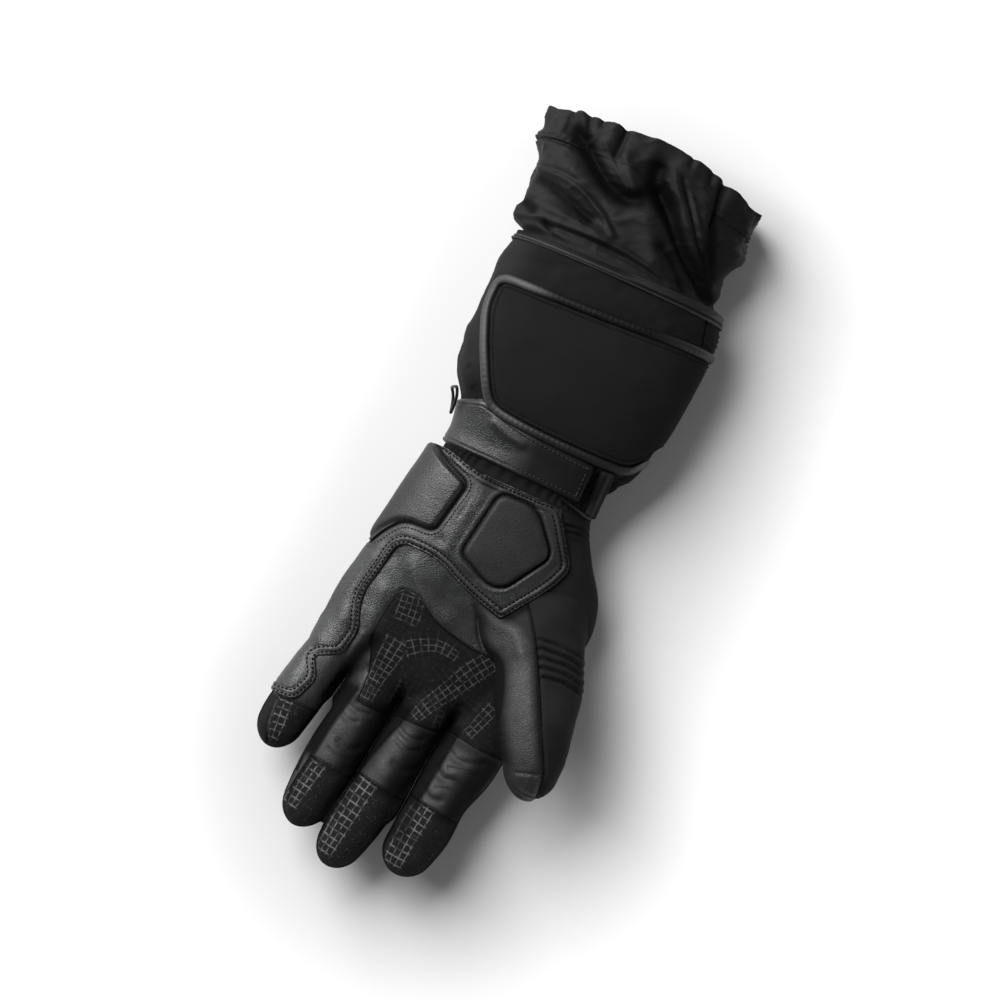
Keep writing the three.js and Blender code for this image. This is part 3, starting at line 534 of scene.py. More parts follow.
def outline(corners, grow=0.0, steps=10):
    """A closed outline in plan: each corner is rounded by a quadratic curve over its radius, and the
    whole is moved out by grow along its normals."""
    corners = [(c[0], c[1], c[2] if len(c) > 2 else 0) for c in corners]
    points = []
    for i, (x, y, radius) in enumerate(corners):
        here = np.array([x, y], float)
        if not radius:
            points.append(here)
            continue
        ends = []
        for k in (i - 1, (i + 1) % len(corners)):
            edge = np.array(corners[k][:2], float) - here
            size = np.linalg.norm(edge)
            ends.append(here + edge / size * min(radius, size * 0.45))
        for t in np.linspace(0, 1, steps + 1):
            points.append((1 - t) ** 2 * ends[0] + 2 * t * (1 - t) * here + t * t * ends[1])
    points = np.array(points)
    if not grow:
        return points
    before, after = np.roll(points, 1, 0), np.roll(points, -1, 0)
    turn = np.sign(np.sum(points[:, 0] * after[:, 1] - after[:, 0] * points[:, 1]))
    way = after - before
    way /= np.linalg.norm(way, axis=1)[:, None]
    return points + np.stack([way[:, 1], -way[:, 0]], 1) * grow * turn


def prism(points, low=-10.0, high=90.0):
    """A closed outline in plan, drawn up from one level to another."""
    n = len(points)
    verts = np.concatenate([np.c_[points, np.full(n, low)], np.c_[points, np.full(n, high)]])
    j = np.arange(n)
    k = (j + 1) % n
    return outward(verts, [np.stack([j, k, k + n, j + n], 1), j[None, ::-1], (j + n)[None]])


def block(x0, x1, y0, y1, z0=-10.0, z1=120.0):
    """A box between two corners."""
    return prism(np.array([(x0, y0), (x1, y0), (x1, y1), (x0, y1)], float), z0, z1)


def parting_half(above):
    """Everything above, or below, the parting line, as a prism along X."""
    line = [(y, z + (GAP / 2 if above else -GAP / 2)) for y, z in PARTING]
    far = 120 if above else -120
    points = [(FAR, line[0][1]), *line, (-FAR, line[-1][1]), (-FAR, far), (FAR, far)]
    verts, groups = prism(np.array(points, float), -FAR, FAR)
    return outward(verts[:, [2, 0, 1]], groups)


# Distances and relief in plan


def line_distance(xy, line):
    """Distance to a line of points, and how far along it the nearest point lies."""
    best, place, run = np.full(len(xy), 1e9), np.zeros(len(xy)), 0.0
    for a, b in zip(line[:-1], line[1:]):
        way = b - a
        size = float(np.hypot(*way))
        if size < 1e-9:
            continue
        t = np.clip(((xy - a) @ way) / size ** 2, 0, 1)
        d = np.hypot(xy[:, 0] - a[0] - t * way[0], xy[:, 1] - a[1] - t * way[1])
        closer = d < best
        best = np.where(closer, d, best)
        place = np.where(closer, run + t * size, place)
        run += size
    return best, place


def inside_by(xy, points):
    """How far inside a closed outline each place lies; negative outside."""
    line = looped(points)
    d, _ = line_distance(xy, line)
    odd = np.zeros(len(xy), bool)
    for a, b in zip(line[:-1], line[1:]):
        if a[1] == b[1]:
            continue
        crosses = (a[1] > xy[:, 1]) != (b[1] > xy[:, 1])
        odd ^= crosses & (xy[:, 0] < (b[0] - a[0]) * (xy[:, 1] - a[1]) / (b[1] - a[1]) + a[0])
    return np.where(odd, d, -d)


def creases(xy, table, sharp=2.0):
    """The sum of folds: rise times exp(-(distance / spread) ** sharp)."""
    total = np.zeros(len(xy))
    for spread, rise, *points in table:
        line = curve(points, 2.0)
        low, high = line.min(0) - 3 * spread, line.max(0) + 3 * spread
        near = np.flatnonzero(((xy > low) & (xy < high)).all(1))
        if len(near):
            d, _ = line_distance(xy[near], line)
            total[near] += rise * np.exp(-(d / spread) ** sharp)
    return total


def ripple(p, size, seed=0.0):
    """Smooth uneven waves of about the given size in mm, from -1 to 1: products of sines whose
    phases bend each other."""
    q = p / size * 2 * math.pi
    x, y, z = q[:, 0] + seed, q[:, 1] + 1.7 * seed, q[:, 2] + 2.3 * seed
    bend = np.sin(0.61 * x + 1.3 * np.sin(0.43 * y + seed)) + np.sin(0.53 * y - 0.37 * z)
    return 0.5 * (np.sin(x + bend) * np.cos(0.83 * y - bend) + np.sin(0.71 * z + 0.9 * y + bend))


def edge_round(d, radius):
    """A quarter circle that rises from 0 at an edge to 1 at radius inside it."""
    return np.sqrt(1 - (1 - np.clip(d / radius, 0, 1)) ** 2)


def bump_at(d, place, spread):
    """exp(-((d - place) / spread) squared)."""
    return np.exp(-((d - place) / spread) ** 2)


def ease(value, low, high):
    """0 at low and 1 at high, easing in and out between."""
    t = np.clip((value - low) / (high - low), 0, 1)
    return t * t * (3 - 2 * t)


# Meshes


def to_mesh(name, shape):
    """A mesh from points in mm and groups of faces with equal numbers of corners."""
    verts, groups = shape
    mesh = bpy.data.meshes.new(name)
    flat = np.concatenate([g.ravel() for g in groups])
    sizes = np.concatenate([np.full(len(g), g.shape[1]) for g in groups])
    mesh.vertices.add(len(verts))
    mesh.vertices.foreach_set("co", (verts * MM).astype(np.float32).ravel())
    mesh.loops.add(len(flat))
    mesh.loops.foreach_set("vertex_index", flat.astype(np.int32))
    mesh.polygons.add(len(sizes))
    mesh.polygons.foreach_set("loop_start", (np.cumsum(sizes) - sizes).astype(np.int32))
    mesh.update(calc_edges=True)
    mesh.validate()
    return mesh


def read(mesh, what="co"):
    """Vertex places in mm, or unit normals."""
    out = np.empty(len(mesh.vertices) * 3, np.float32)
    if what == "co":
        mesh.vertices.foreach_get("co", out)
        return out.reshape(-1, 3).astype(float) / MM
    mesh.vertex_normals.foreach_get("vector", out)
    return out.reshape(-1, 3).astype(float)


def moved(mesh, verts):
    """A copy of a mesh with its vertices at new places in mm."""
    out = mesh.copy()
    out.vertices.foreach_set("co", (verts * MM).astype(np.float32).ravel())
    out.update()
    return out


def evaluated(mesh, kind, **settings):
    """The mesh after one modifier."""
    thing = bpy.data.objects.new("work", mesh)
    bpy.context.scene.collection.objects.link(thing)
    step = thing.modifiers.new("step", kind)
    for key, value in settings.items():
        setattr(step, key, value)
    graph = bpy.context.evaluated_depsgraph_get()
    out = bpy.data.meshes.new_from_object(thing.evaluated_get(graph))
    bpy.data.objects.remove(thing)
    return out


def cut(mesh, other, operation):
    """The mesh less, or within, a closed shape or mesh."""
    tool = bpy.data.objects.new("tool", other if isinstance(other, bpy.types.Mesh)
                                else to_mesh("tool", other))
    bpy.context.scene.collection.objects.link(tool)
    out = evaluated(mesh, "BOOLEAN", object=tool, operation=operation, solver="MANIFOLD")
    bpy.data.objects.remove(tool)
    if not len(out.polygons):
        raise RuntimeError(f"nothing is left of {mesh.name} after {operation}")
    return out


def less(mesh, other):
    """The mesh with another shape taken away."""
    return cut(mesh, other, "DIFFERENCE")


def within(mesh, other):
    """The part of the mesh inside another shape."""
    return cut(mesh, other, "INTERSECT")


def largest(mesh):
    """The mesh without loose crumbs: only its largest connected part."""
    n = len(mesh.vertices)
    pairs = np.empty(len(mesh.edges) * 2, np.int32)
    mesh.edges.foreach_get("vertices", pairs)
    a, b = pairs.reshape(-1, 2).T
    label = np.arange(n)
    while True:
        low = np.minimum(label[a], label[b])
        fresh = label.copy()
        np.minimum.at(fresh, a, low)
        np.minimum.at(fresh, b, low)
        fresh = fresh[fresh]
        if (fresh == label).all():
            break
        label = fresh
    roots, counts = np.unique(label, return_counts=True)
    if len(roots) == 1:
        return mesh
    keep = label == roots[counts.argmax()]
    starts = np.empty(len(mesh.polygons), np.int32)
    sizes = np.empty(len(mesh.polygons), np.int32)
    mesh.polygons.foreach_get("loop_start", starts)
    mesh.polygons.foreach_get("loop_total", sizes)
    corners = np.empty(len(mesh.loops), np.int32)
    mesh.loops.foreach_get("vertex_index", corners)
    fresh = np.cumsum(keep) - 1
    groups = []
    for size in np.unique(sizes):
        faces = corners[starts[sizes == size][:, None] + np.arange(size)]
        faces = faces[keep[faces[:, 0]]]
        if len(faces):
            groups.append(fresh[faces])
    return to_mesh(mesh.name, (read(mesh)[keep], groups))


def smoothed(mesh, rounds, share=1.0):
    """The mesh with each vertex drawn halfway, or a share of that, to the mean of its neighbours,
    several times."""
    pairs = np.empty(len(mesh.edges) * 2, np.int32)
    mesh.edges.foreach_get("vertices", pairs)
    a, b = pairs.reshape(-1, 2).T
    v = read(mesh)
    n = len(v)
    count = np.bincount(a, minlength=n) + np.bincount(b, minlength=n)
    for _ in range(rounds):
        for k in range(3):
            total = np.bincount(a, v[b, k], n) + np.bincount(b, v[a, k], n)
            v[:, k] += 0.5 * share * (total / count - v[:, k])
    return moved(mesh, v)


def piece(name, mesh, material, nodes=(), sharp=50.0):
    """An object of the glove: smooth shaded but for edges over sharp degrees, riding on the root,
    with its material and the nodes that it replaces."""
    if isinstance(mesh, tuple):
        mesh = to_mesh(name, mesh)
    mesh.name = name
    mesh.materials.clear()
    mesh.materials.append(bpy.data.materials[material])
    mesh.polygons.foreach_set("use_smooth", np.ones(len(mesh.polygons), bool))
    mesh.polygons.foreach_set("material_index", np.zeros(len(mesh.polygons), np.int32))
    if sharp:
        mesh.set_sharp_from_angle(angle=math.radians(sharp))
    thing = bpy.data.objects.new(name, mesh)
    bpy.context.scene.collection.objects.link(thing)
    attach(thing, "root")
    if nodes:
        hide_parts(*nodes)
    return thing


def tag(mesh, name, values):
    """A number for each vertex, which materials read by its name."""
    layer = mesh.attributes.new(name, "FLOAT", "POINT")
    layer.data.foreach_set("value", np.asarray(values, np.float32))


def tag_uv(mesh, uv):
    """A UV map from one pair of numbers a vertex."""
    corners = np.empty(len(mesh.loops), np.int32)
    mesh.loops.foreach_get("vertex_index", corners)
    layer = mesh.uv_layers.new(name="grid")
    layer.data.foreach_set("uv", uv[corners].astype(np.float32).ravel())


def tube(path, radius, sides=10, closed=False):
    """A round wire along a path: circles in planes across it."""
    path = np.asarray(path, float)
    tangent = np.gradient(path, axis=0)
    if closed:
        tangent = np.roll(path, -1, 0) - np.roll(path, 1, 0)
    tangent /= np.linalg.norm(tangent, axis=1)[:, None]
    up = np.array([0, 0, 1.0])
    side = np.cross(tangent, up)
    side /= np.linalg.norm(side, axis=1)[:, None]
    other = np.cross(side, tangent)
    angles = np.linspace(0, 2 * math.pi, sides, endpoint=False)
    grid = path[:, None] + radius * (np.cos(angles)[None, :, None] * side[:, None]
                                     + np.sin(angles)[None, :, None] * other[:, None])
    if closed:
        n = len(path)
        quads = loop_quads(n + 1, sides)
        return outward(grid.reshape(-1, 3), [quads % (n * sides)])
    return capped(grid)


def sweep(path, normals, profile, ends=1.5):
    """A band along a path: the profile's first number lies across the path and its second along the
    surface normal; both shrink to nothing over the last bit at each end."""
    tangent = np.gradient(path, axis=0)
    tangent /= np.linalg.norm(tangent, axis=1)[:, None]
    side = np.cross(tangent, normals)
    side /= np.linalg.norm(side, axis=1)[:, None]
    along = np.concatenate([[0], np.cumsum(np.linalg.norm(np.diff(path, axis=0), axis=1))])
    keep = np.ones(len(path))
    if ends:
        keep = np.maximum(edge_round(np.minimum(along, along[-1] - along), ends), 0.05)
    profile = np.asarray(profile, float)
    if profile.ndim == 2:
        profile = np.repeat(profile[None], len(path), 0)
    centre = profile[..., 1].min(1, keepdims=True)
    across = profile[..., 0] * keep[:, None]
    rise = centre + (profile[..., 1] - centre) * keep[:, None]
    places = path[:, None] + across[..., None] * side[:, None]
    return capped(places + rise[..., None] * normals[:, None])


# Forms shared by several pieces
FORMS = {}


def hand_form():
    """The hand without its thumb: all limbs in one skin, their creases filled by smoothing, and the
    sides of neighbouring fingers drawn together."""
    if "hand" not in FORMS:
        parts = [limb(PALM, 0.15, along=110, around=200, tip=0, squareness=PALM_SQUARE)]
        parts += [limb(rows, -0.2, squareness=FINGER_SQUARE) for rows in FINGERS]
        mesh = evaluated(to_mesh("hand", joined(parts)), "REMESH", mode="VOXEL",
                         voxel_size=VOXEL * MM, adaptivity=0)
        mesh = smoothed(mesh, 22)
        v = read(mesh)
        v[:, 2] = np.maximum(v[:, 2], 0)
        v = fingers_closed(v)
        mesh = smoothed(moved(mesh, v), 2)
        v = read(mesh)
        FORMS["hand"] = mesh, v, read(mesh, "normal")
    return FORMS["hand"]


def fingers_closed(v):
    """Draws places near the line between two fingers up to 0.2 mm from it, fully below the parting
    height and not at all above 5 mm over it, so that the crowns stay round."""
    line = np.array(sorted(PARTING), float)
    height = v[:, 2] - np.interp(v[:, 1], line[:, 0], line[:, 1])
    v = v.copy()
    for end, points in MIDLINES:
        middle = np.array(points[::-1], float)
        off = v[:, 0] - np.interp(v[:, 1], middle[:, 1], middle[:, 0])
        share = ease(-v[:, 1], 93, 97) * ease(v[:, 1], end - 3, end + 4)
        share *= ease(-height, -5.5, -0.5) * ease(-np.abs(off), -8.5, -5)
        v[:, 0] += np.sign(off) * (0.2 - np.abs(off)) * share
    return v


def hand_hollow():
    """The room inside the hand: its limbs less the panels' thickness, in one skin."""
    if "hollow" not in FORMS:
        parts = [limb(PALM, -SKIN, along=50, around=90, tip=0, squareness=PALM_SQUARE)]
        parts += [limb(rows, -SKIN, along=40, around=40, squareness=FINGER_SQUARE)
                  for rows in FINGERS]
        FORMS["hollow"] = evaluated(to_mesh("hollow", joined(parts)), "REMESH", mode="VOXEL",
                                    voxel_size=HOLLOW_VOXEL * MM, adaptivity=0)
    return FORMS["hollow"]


def thumb_form():
    """Thumb, gusset and palm in one skin, smoothed most where the thumb grows out of the palm."""
    if "thumb" not in FORMS:
        parts = [
            limb(THUMB, 0.15, 120, 120, squareness=THUMB_SQUARE),
            limb(GUSSET, 0, 40, 60, squareness=2.1),
            limb(PALM, 0.0, along=80, around=160, tip=0, squareness=PALM_SQUARE),
        ]
        mesh = evaluated(to_mesh("thumb", joined(parts)), "REMESH", mode="VOXEL",
                         voxel_size=VOXEL * MM, adaptivity=0)
        mesh = smoothed(mesh, 12)
        v = read(mesh)
        mesh = smoothed(mesh, 130, ease(v[:, 1], -86, -72) * ease(v[:, 0], -12, -2))
        FORMS["thumb"] = mesh
    return FORMS["thumb"]


def cuff_rows(y):
    """Sections of the cuff's form at heights y."""
    return rows_where(CUFF, np.asarray(y, float))


def cuff_grid(y, offset, around=CUFF_AROUND):
    """Loops of the cuff's form at heights y, grown by an offset."""
    angles = np.linspace(0, 2 * math.pi, around, endpoint=False)[None]
    return sections(cuff_rows(y), SQUARE, angles, offset, PALM_SQUARE, max(0.0, -offset))


def cuff_points(degrees, y, offset):
    """Points on the cuff at angles in degrees and heights y, with the surface normals there: the
    cross product of small steps round the cuff and along it."""
    angles = np.radians(np.asarray(degrees, float))[:, None]

    def at(angle, shift=0.0):
        """Places at angles, a little way along the cuff from y."""
        rows = cuff_rows(np.asarray(y, float) + shift)
        return sections(rows, SQUARE, angle, offset, PALM_SQUARE, 0.0)[:, 0]

    here = at(angles)
    round_way = at(angles + 0.01) - at(angles - 0.01)
    along_way = at(angles, 0.5) - at(angles, -0.5)
    normal = np.cross(round_way, -along_way)
    normal /= np.linalg.norm(normal, axis=1)[:, None]
    outside = np.sign(np.einsum("ij,ij->i", normal, here - cuff_rows(y)[:, :3]))
    return here, normal * outside[:, None]


def cuff_angle(x, y):
    """The angle in degrees at which the cuff's palm side reaches x, at height y."""
    rows = cuff_rows(y)
    share = np.clip((np.asarray(x, float) - rows[:, 0]) / rows[:, 3], -0.999, 0.999)
    return np.degrees(np.arccos(power(share, 1.2)))


# Pieces


def setting(name):
    """A size setting in mm."""
    return getattr(bpy.context.scene.glove_sizes, name) / MM


def hand_skin():
    """The hand's wall: folds and seams pressed into the form, and the hollows taken out."""
    mesh, v, n = hand_form()
    upward = np.clip(n[:, 2], 0, 1) ** 0.7
    depth = setting("seam_depth") / 0.9
    rise = creases(v[:, :2], HAND_FOLDS) + depth * creases(v[:, :2], HAND_SEAMS.values())
    rise *= upward
    rise += (0.22 * ripple(v, 23, 1.0) + 0.05 * ripple(v, 8, 2.0)) * np.clip(1.4 * upward, 0.1, 1)
    # The seam between palm side and back, all round the hand.
    line = np.array(sorted(PARTING), float)
    off = v[:, 2] - np.interp(v[:, 1], line[:, 0], line[:, 1])
    rise -= 0.8 * bump_at(off, 0, 0.9) * (np.abs(n[:, 2]) < 0.75)
    # The back: the seam across the knuckles and shallow flex ribs over them.
    under = n[:, 2] < -0.2
    rise -= under * 0.8 * bump_at(v[:, 1], KNUCKLES, 0.9)
    ribs = (v[:, 1] < -97) & (v[:, 1] > -113)
    rise -= under * ribs * 0.5 * np.cos((v[:, 1] + 97) / 4 * 2 * math.pi)
    outer = v + n * rise[:, None]
    outer[:, 2] = np.maximum(outer[:, 2], 0)
    skin = less(less(moved(mesh, outer), hand_hollow()), thumb_hollow())
    return within(skin, block(-FAR, FAR, -FAR, HAND_TOP))


def cut_panels(rest, plans, slot, material):
    """Cuts panels out of the hand's wall by their outlines, and returns what is left of it."""
    for name, corners in plans.items():
        panel = largest(within(rest, prism(outline(corners))))
        dress_hand(name, panel, slot, material)
        rest = less(rest, prism(outline(corners, GAP)))
    return rest


def build_hand():
    """Panels of the hand: its back and its palm side, each cut along the outlines."""
    skin = hand_skin()
    back = cut_panels(within(skin, parting_half(False)), FINGER_BACKS, "softshell", "softshell_knit")
    dress_hand("back_softshell", largest(back), "softshell", "softshell_knit")
    front = within(skin, parting_half(True))
    front = cut_panels(front, {"side_softshell": SIDE_PANEL}, "softshell", "softshell_knit")
    front = cut_panels(front, {**TIPS, "palm_grip": PALM_GRIP}, "grip", "grip_suede")
    front = cut_panels(front, FRONTS, "leather", "leather_palm")
    dress_hand("palm_leather", largest(front), "leather", "leather_palm")


def grid_uv(xy, strips):
    """Columns and rows of the nearest strip's grid, counted in cells across and along its middle
    line, and how strongly its lines show: 0 from 0.4 of a cell outside the strip."""
    uv, shown, best = np.zeros((len(xy), 2)), np.zeros(len(xy)), np.full(len(xy), 1e9)
    for columns, high, strength, *points in strips:
        table = curve(points, 1.0)
        line = table[:, :2]
        steps = np.hypot(*np.diff(line, axis=0).T)
        along = np.concatenate([[0], np.cumsum(steps)])
        _, place = line_distance(xy, line)
        k = np.clip(np.searchsorted(along, place) - 1, 0, len(steps) - 1)
        way = (line[k + 1] - line[k]) / steps[k][:, None]
        rel = xy - line[k]
        off = way[:, 0] * rel[:, 1] - way[:, 1] * rel[:, 0]
        half = np.interp(place, along, table[:, 2])
        run = (rel * way).sum(1) + along[k]
        u, v = off / half * columns / 2 + (columns % 2) / 2, run / high
        rows = math.floor(along[-1] / high)
        past = np.maximum(np.maximum(-v, v - rows), np.abs(off) / half * columns / 2 - columns / 2)
        fade = np.maximum(strength * ease(-past, -0.42, -0.12), 0.07 * (len(strips) > 1))
        nearer = past < best
        best = np.where(nearer, past, best)
        uv[nearer] = np.stack([u, v], 1)[nearer]
        shown = np.where(nearer, fade, shown)
    return uv, shown


def right_of(v, line):
    """How far to the right of a line that runs towards the fingertips each place lies."""
    line = np.array(line[::-1], float)
    return v[:, 0] - np.interp(v[:, 1], line[:, 1], line[:, 0])


def near_line(v, points, wide):
    """exp(-(distance / wide) squared) from a smooth line in plan."""
    d, _ = line_distance(v[:, :2], curve(points, 1.0))
    return np.exp(-(d / wide) ** 2)


def hand_shade(name, material, v, n):
    """How much painted shade each place gets, from 0 to 1: the most of the sides that turn away, the
    cloth strips beside the fingers (their cloth's own darker tone with painted shade over it), the
    fronts' thumb sides, and the pockets between the fingers' roots."""
    y = v[:, 1]
    layers = [ease(-n[:, 2], -0.66, -0.36) * ease(-y, 84, 104)]
    for seam, wide in SIDE_STRIPS:
        off = right_of(v, curve(HAND_SEAMS[seam][2:], 1.0))
        strip = ease(-off, -4.6, -0.4) * ease(off, -wide, 1.5 - wide) * ease(-y, 100, 110)
        layers.append(strip * (0.97 - 0.5 * ease(-y, 144, 150)) * ease(y, -174, -162))
    off = right_of(v, curve(HAND_SEAMS["little_side"][2:], 1.0))
    layers.append(0.85 * ease(-off, -0.8, 0.4) * ease(-y, 126.5, 127.5))
    for line in FRONT_DARK:
        off = right_of(v, line)
        strip = 0.92 * ease(off, -8.5, 4.5) * ease(-off, -14, -11) * ease(-y, 104, 116)
        layers.append(strip * ease(y, -152, -146))
    layers.append(near_line(v, LITTLE_POCKET, 5.4))
    wide = np.interp(y, [-134, -118, -110, -98], [1.2, 2.4, 3.4, 3])
    layers += [0.95 * near_line(v, line, wide) for line in CROTCHES]
    # Painted shade over the finger fronts, and more just below the grip's edge.
    if material == "leather_palm":
        below_grip = ease(-y, 108, 112) * ease(y, -123, -113)
        layers += [0.45 * ease(-y, 96, 106), 0.74 * below_grip * ease(v[:, 0], -38, -34)]
    # Even painted shade over the palm grip, which lies in the palm's hollow.
    if name == "palm_grip":
        layers.append(np.full(len(v), 0.3))
    # Painted shade along the hollow of the palm.
    if name == "palm_leather":
        layers.append(0.55 * near_line(v, PALM_HOLLOW, 4.5))
    return np.max(layers, 0)


def dress_hand(name, mesh, slot, material):
    """Gives a panel its grip grid and its painted shade, and makes it a piece."""
    v, n = read(mesh), read(mesh, "normal")
    if name in GRIDS:
        uv, shown = grid_uv(v[:, :2], GRIDS[name])
        tag_uv(mesh, uv)
        tag(mesh, "lines", shown)
    if slot != "softshell":
        tag(mesh, "shade", hand_shade(name, material, v, n))
    piece(f"{name}_panel", mesh, material, [name])


def thumb_hollow():
    """The room inside the thumb: its limb less the panels' thickness."""
    if "thumb_hollow" not in FORMS:
        FORMS["thumb_hollow"] = to_mesh(
            "thumb_hollow", limb(THUMB, -SKIN, along=50, around=44, squareness=THUMB_SQUARE))
    return FORMS["thumb_hollow"]


def build_thumb():
    """The thumb: it grows out of the palm, leather towards the fingers and softshell on its outer
    side, with the ribs of the flex panel pressed in."""
    mesh = thumb_form()
    v, n = read(mesh), read(mesh, "normal")
    xy = v[:, :2]
    upward = np.clip(n[:, 2] + 0.15, 0, 1) ** 0.6
    rise = upward * (creases(xy, THUMB_FOLDS) + creases(xy, THUMB_SEAMS))
    rise += 0.2 * ripple(v, 19, 4.0) + 0.04 * ripple(v, 7, 5.0)
    outer = moved(mesh, v + n * rise[:, None])
    hand, hv, hn = hand_form()
    grown = moved(hand, hv + hn * GAP)
    thumb = within(less(outer, grown), prism(outline(THUMB_REGION)))
    thumb = largest(less(less(thumb, thumb_hollow()), prism(outline(HEEL_OVERLAY, GAP))))
    shell = largest(within(thumb, prism(outline(THUMB_SEAM))))
    piece("thumb_softshell_panel", shell, "softshell_knit", ["thumb_softshell"])
    front = largest(less(thumb, prism(outline(THUMB_SEAM, GAP))))
    # Painted shade on the thumb's leather: a little all over, more near the rim of its root, on its
    # left side that turns away, and between the lit fold and the seam.
    at = read(front)[:, :2]
    rim = ease(-inside_by(at, outline(THUMB_REGION)), -8, 0) * (at[:, 0] < 34)
    side = ease(-right_of(at, THUMB_SIDE), -10, -0.5) * ease(-at[:, 1], 62, 74)
    side *= 1 - 0.5 * ease(-at[:, 1], 108, 114)
    dark = ease(inside_by(at, np.array(THUMB_DARK, float)), -1, 3.5) * ease(at[:, 1], -112, -107)
    tag(front, "shade", np.clip(0.3 + 0.6 * rim + 0.65 * side + 0.42 * dark, 0, 0.95))
    piece("thumb_leather_panel", front, "leather_grained", ["thumb_leather"])


def pad_dome(d, rise):
    """A pad's height over its seat: a rounded edge and a slightly crowned middle."""
    return rise * (0.88 * edge_round(d, 2.0) + 0.12 * np.clip(d / 14, 0, 1) ** 0.5)


def palm_layer(top, seat, corners, belt):
    """What lies between two heights over the hand, within an outline and a box."""
    mesh, v, n = hand_form()
    layer = less(moved(mesh, v + n * top[:, None]), moved(mesh, v + n * seat))
    return largest(within(within(layer, prism(outline(corners))), belt))


def build_overlay(d, heel, thenar):
    """The overlay on the heel of the palm: a rounded edge with two sewn rows and a low bead between
    them, and channels round the pads."""
    _, v, _ = hand_form()
    rise = GAP + setting("overlay") * (0.3 + 0.7 * edge_round(d, 1.0))
    rise += 0.25 * bump_at(d, 2.8, 0.7) - 0.4 * bump_at(d, 1.5, 0.45) - 0.4 * bump_at(d, 4.1, 0.45)
    rise -= 1.3 * bump_at(-heel, 1.1, 0.9) + 1.2 * bump_at(-thenar, 0.6, 0.65)
    rise -= 0.35 * bump_at(-heel, 3.4, 0.35)
    rise += 0.3 * bump_at(-thenar, 2.6, 1.0)
    rise += 0.16 * ripple(v, 23, 6.0) + 0.04 * ripple(v, 8, 7.0)
    rise += creases(v[:, :2], OVERLAY_FOLDS)
    top = np.maximum(rise, np.where(d > 0, SEAT + 0.3, -1.0))
    top = np.where(d > -1.5, top, -1.0)
    sheet = palm_layer(top, SEAT, HEEL_OVERLAY, block(-FAR, FAR, -FAR, 14.2, 21))
    at = read(sheet)[:, :2]
    edge = inside_by(at, outline(HEEL_OVERLAY))
    past_heel = -inside_by(at, outline(HEEL_PAD))
    past_thenar = -inside_by(at, outline(THENAR_PAD))
    # Painted shade in the sewn rows, the channels round the pads and at the very edge, and over the
    # corner towards the thumb and the top middle.
    dark = 0.35 * (bump_at(edge, 1.5, 0.5) + bump_at(edge, 4.1, 0.5) + bump_at(past_heel, 3.4, 0.5))
    dark += bump_at(past_heel, 0.9, 0.8) + bump_at(past_thenar, 0.6, 0.75) + (edge < 0.35)
    dark += 0.5 * ease(at[:, 0], 13, 30) * ease(at[:, 1], -40, -22)
    dark += 0.6 * bump_at(at[:, 0], -15, 8) * ease(at[:, 1], -4, 7)
    tag(sheet, "shade", np.clip(dark, 0, 1))
    piece("palm_overlay_panel", sheet, "leather_palm", ["palm_overlay"])


def build_pad(name, corners, depth, dark, dark_left):
    """A foam pad: a dome over the overlay, with painted shade that is darkest at its rim."""
    _, v, _ = hand_form()
    seat = GAP + setting("overlay") - 0.9
    lift = seat + 0.9 + pad_dome(depth, setting("pad_rise")) + 0.07 * ripple(v, 19, 8.0)
    top = np.where(depth > -1.5, lift, -1.0)
    pad = palm_layer(top, seat, corners, block(-FAR, FAR, -FAR, 14, 22))
    at = read(pad)
    rim = ease(-inside_by(at[:, :2], outline(corners)), -0.9, 0.1) * (at[:, 0] > -50)
    tag(pad, "shade", np.maximum(dark + dark_left * ease(-at[:, 0], 38, 56), 0.9 * rim))
    piece(f"{name}_cover", pad, "leather_smooth", [name])


def build_palm_layers():
    """The overlay on the heel of the palm with its sewn edge, and the two foam pads."""
    _, v, n = hand_form()
    region = (v[:, 1] > -132) & (n[:, 2] > -0.3)
    depths = []
    for corners in (HEEL_OVERLAY, HEEL_PAD, THENAR_PAD):
        depth = np.full(len(v), -9.0)
        depth[region] = inside_by(v[region, :2], outline(corners))
        depths.append(depth)
    build_overlay(*depths)
    # Painted shade: the heel pad's grows towards its left side, the thenar pad's is even.
    build_pad("heel_pad", HEEL_PAD, depths[1], 0.0, 0.3)
    build_pad("thenar_pad", THENAR_PAD, depths[2], 0.45, 0.0)


def wrist_gathers():
    """The gathered wrist: narrow pleats that bulge between the elastic bands."""
    around, rows = 420, 40
    y = np.linspace(HAND_TOP + 0.04, WRIST_TOP, rows)
    turn = np.arange(around) / around * 2 * math.pi
    phase = 46 * turn + 1.6 * np.sin(5 * turn) + 0.8 * np.sin(11 * turn + 1)
    waves = 0.55 * np.sin(phase)[None] * np.sin(np.linspace(0, math.pi, rows))[:, None] ** 0.5
    bands = -0.6 * np.abs(np.sin(np.linspace(0, 4 * math.pi, rows)))[:, None] ** 4
    outer = lifted(cuff_grid(y, 0.0, around), waves + bands)
    sleeve = wall(outer, cuff_grid(y, -SKIN, around))
    piece("wrist_gather_sleeve", sleeve, "elastic_rib", ["wrist_gather"])


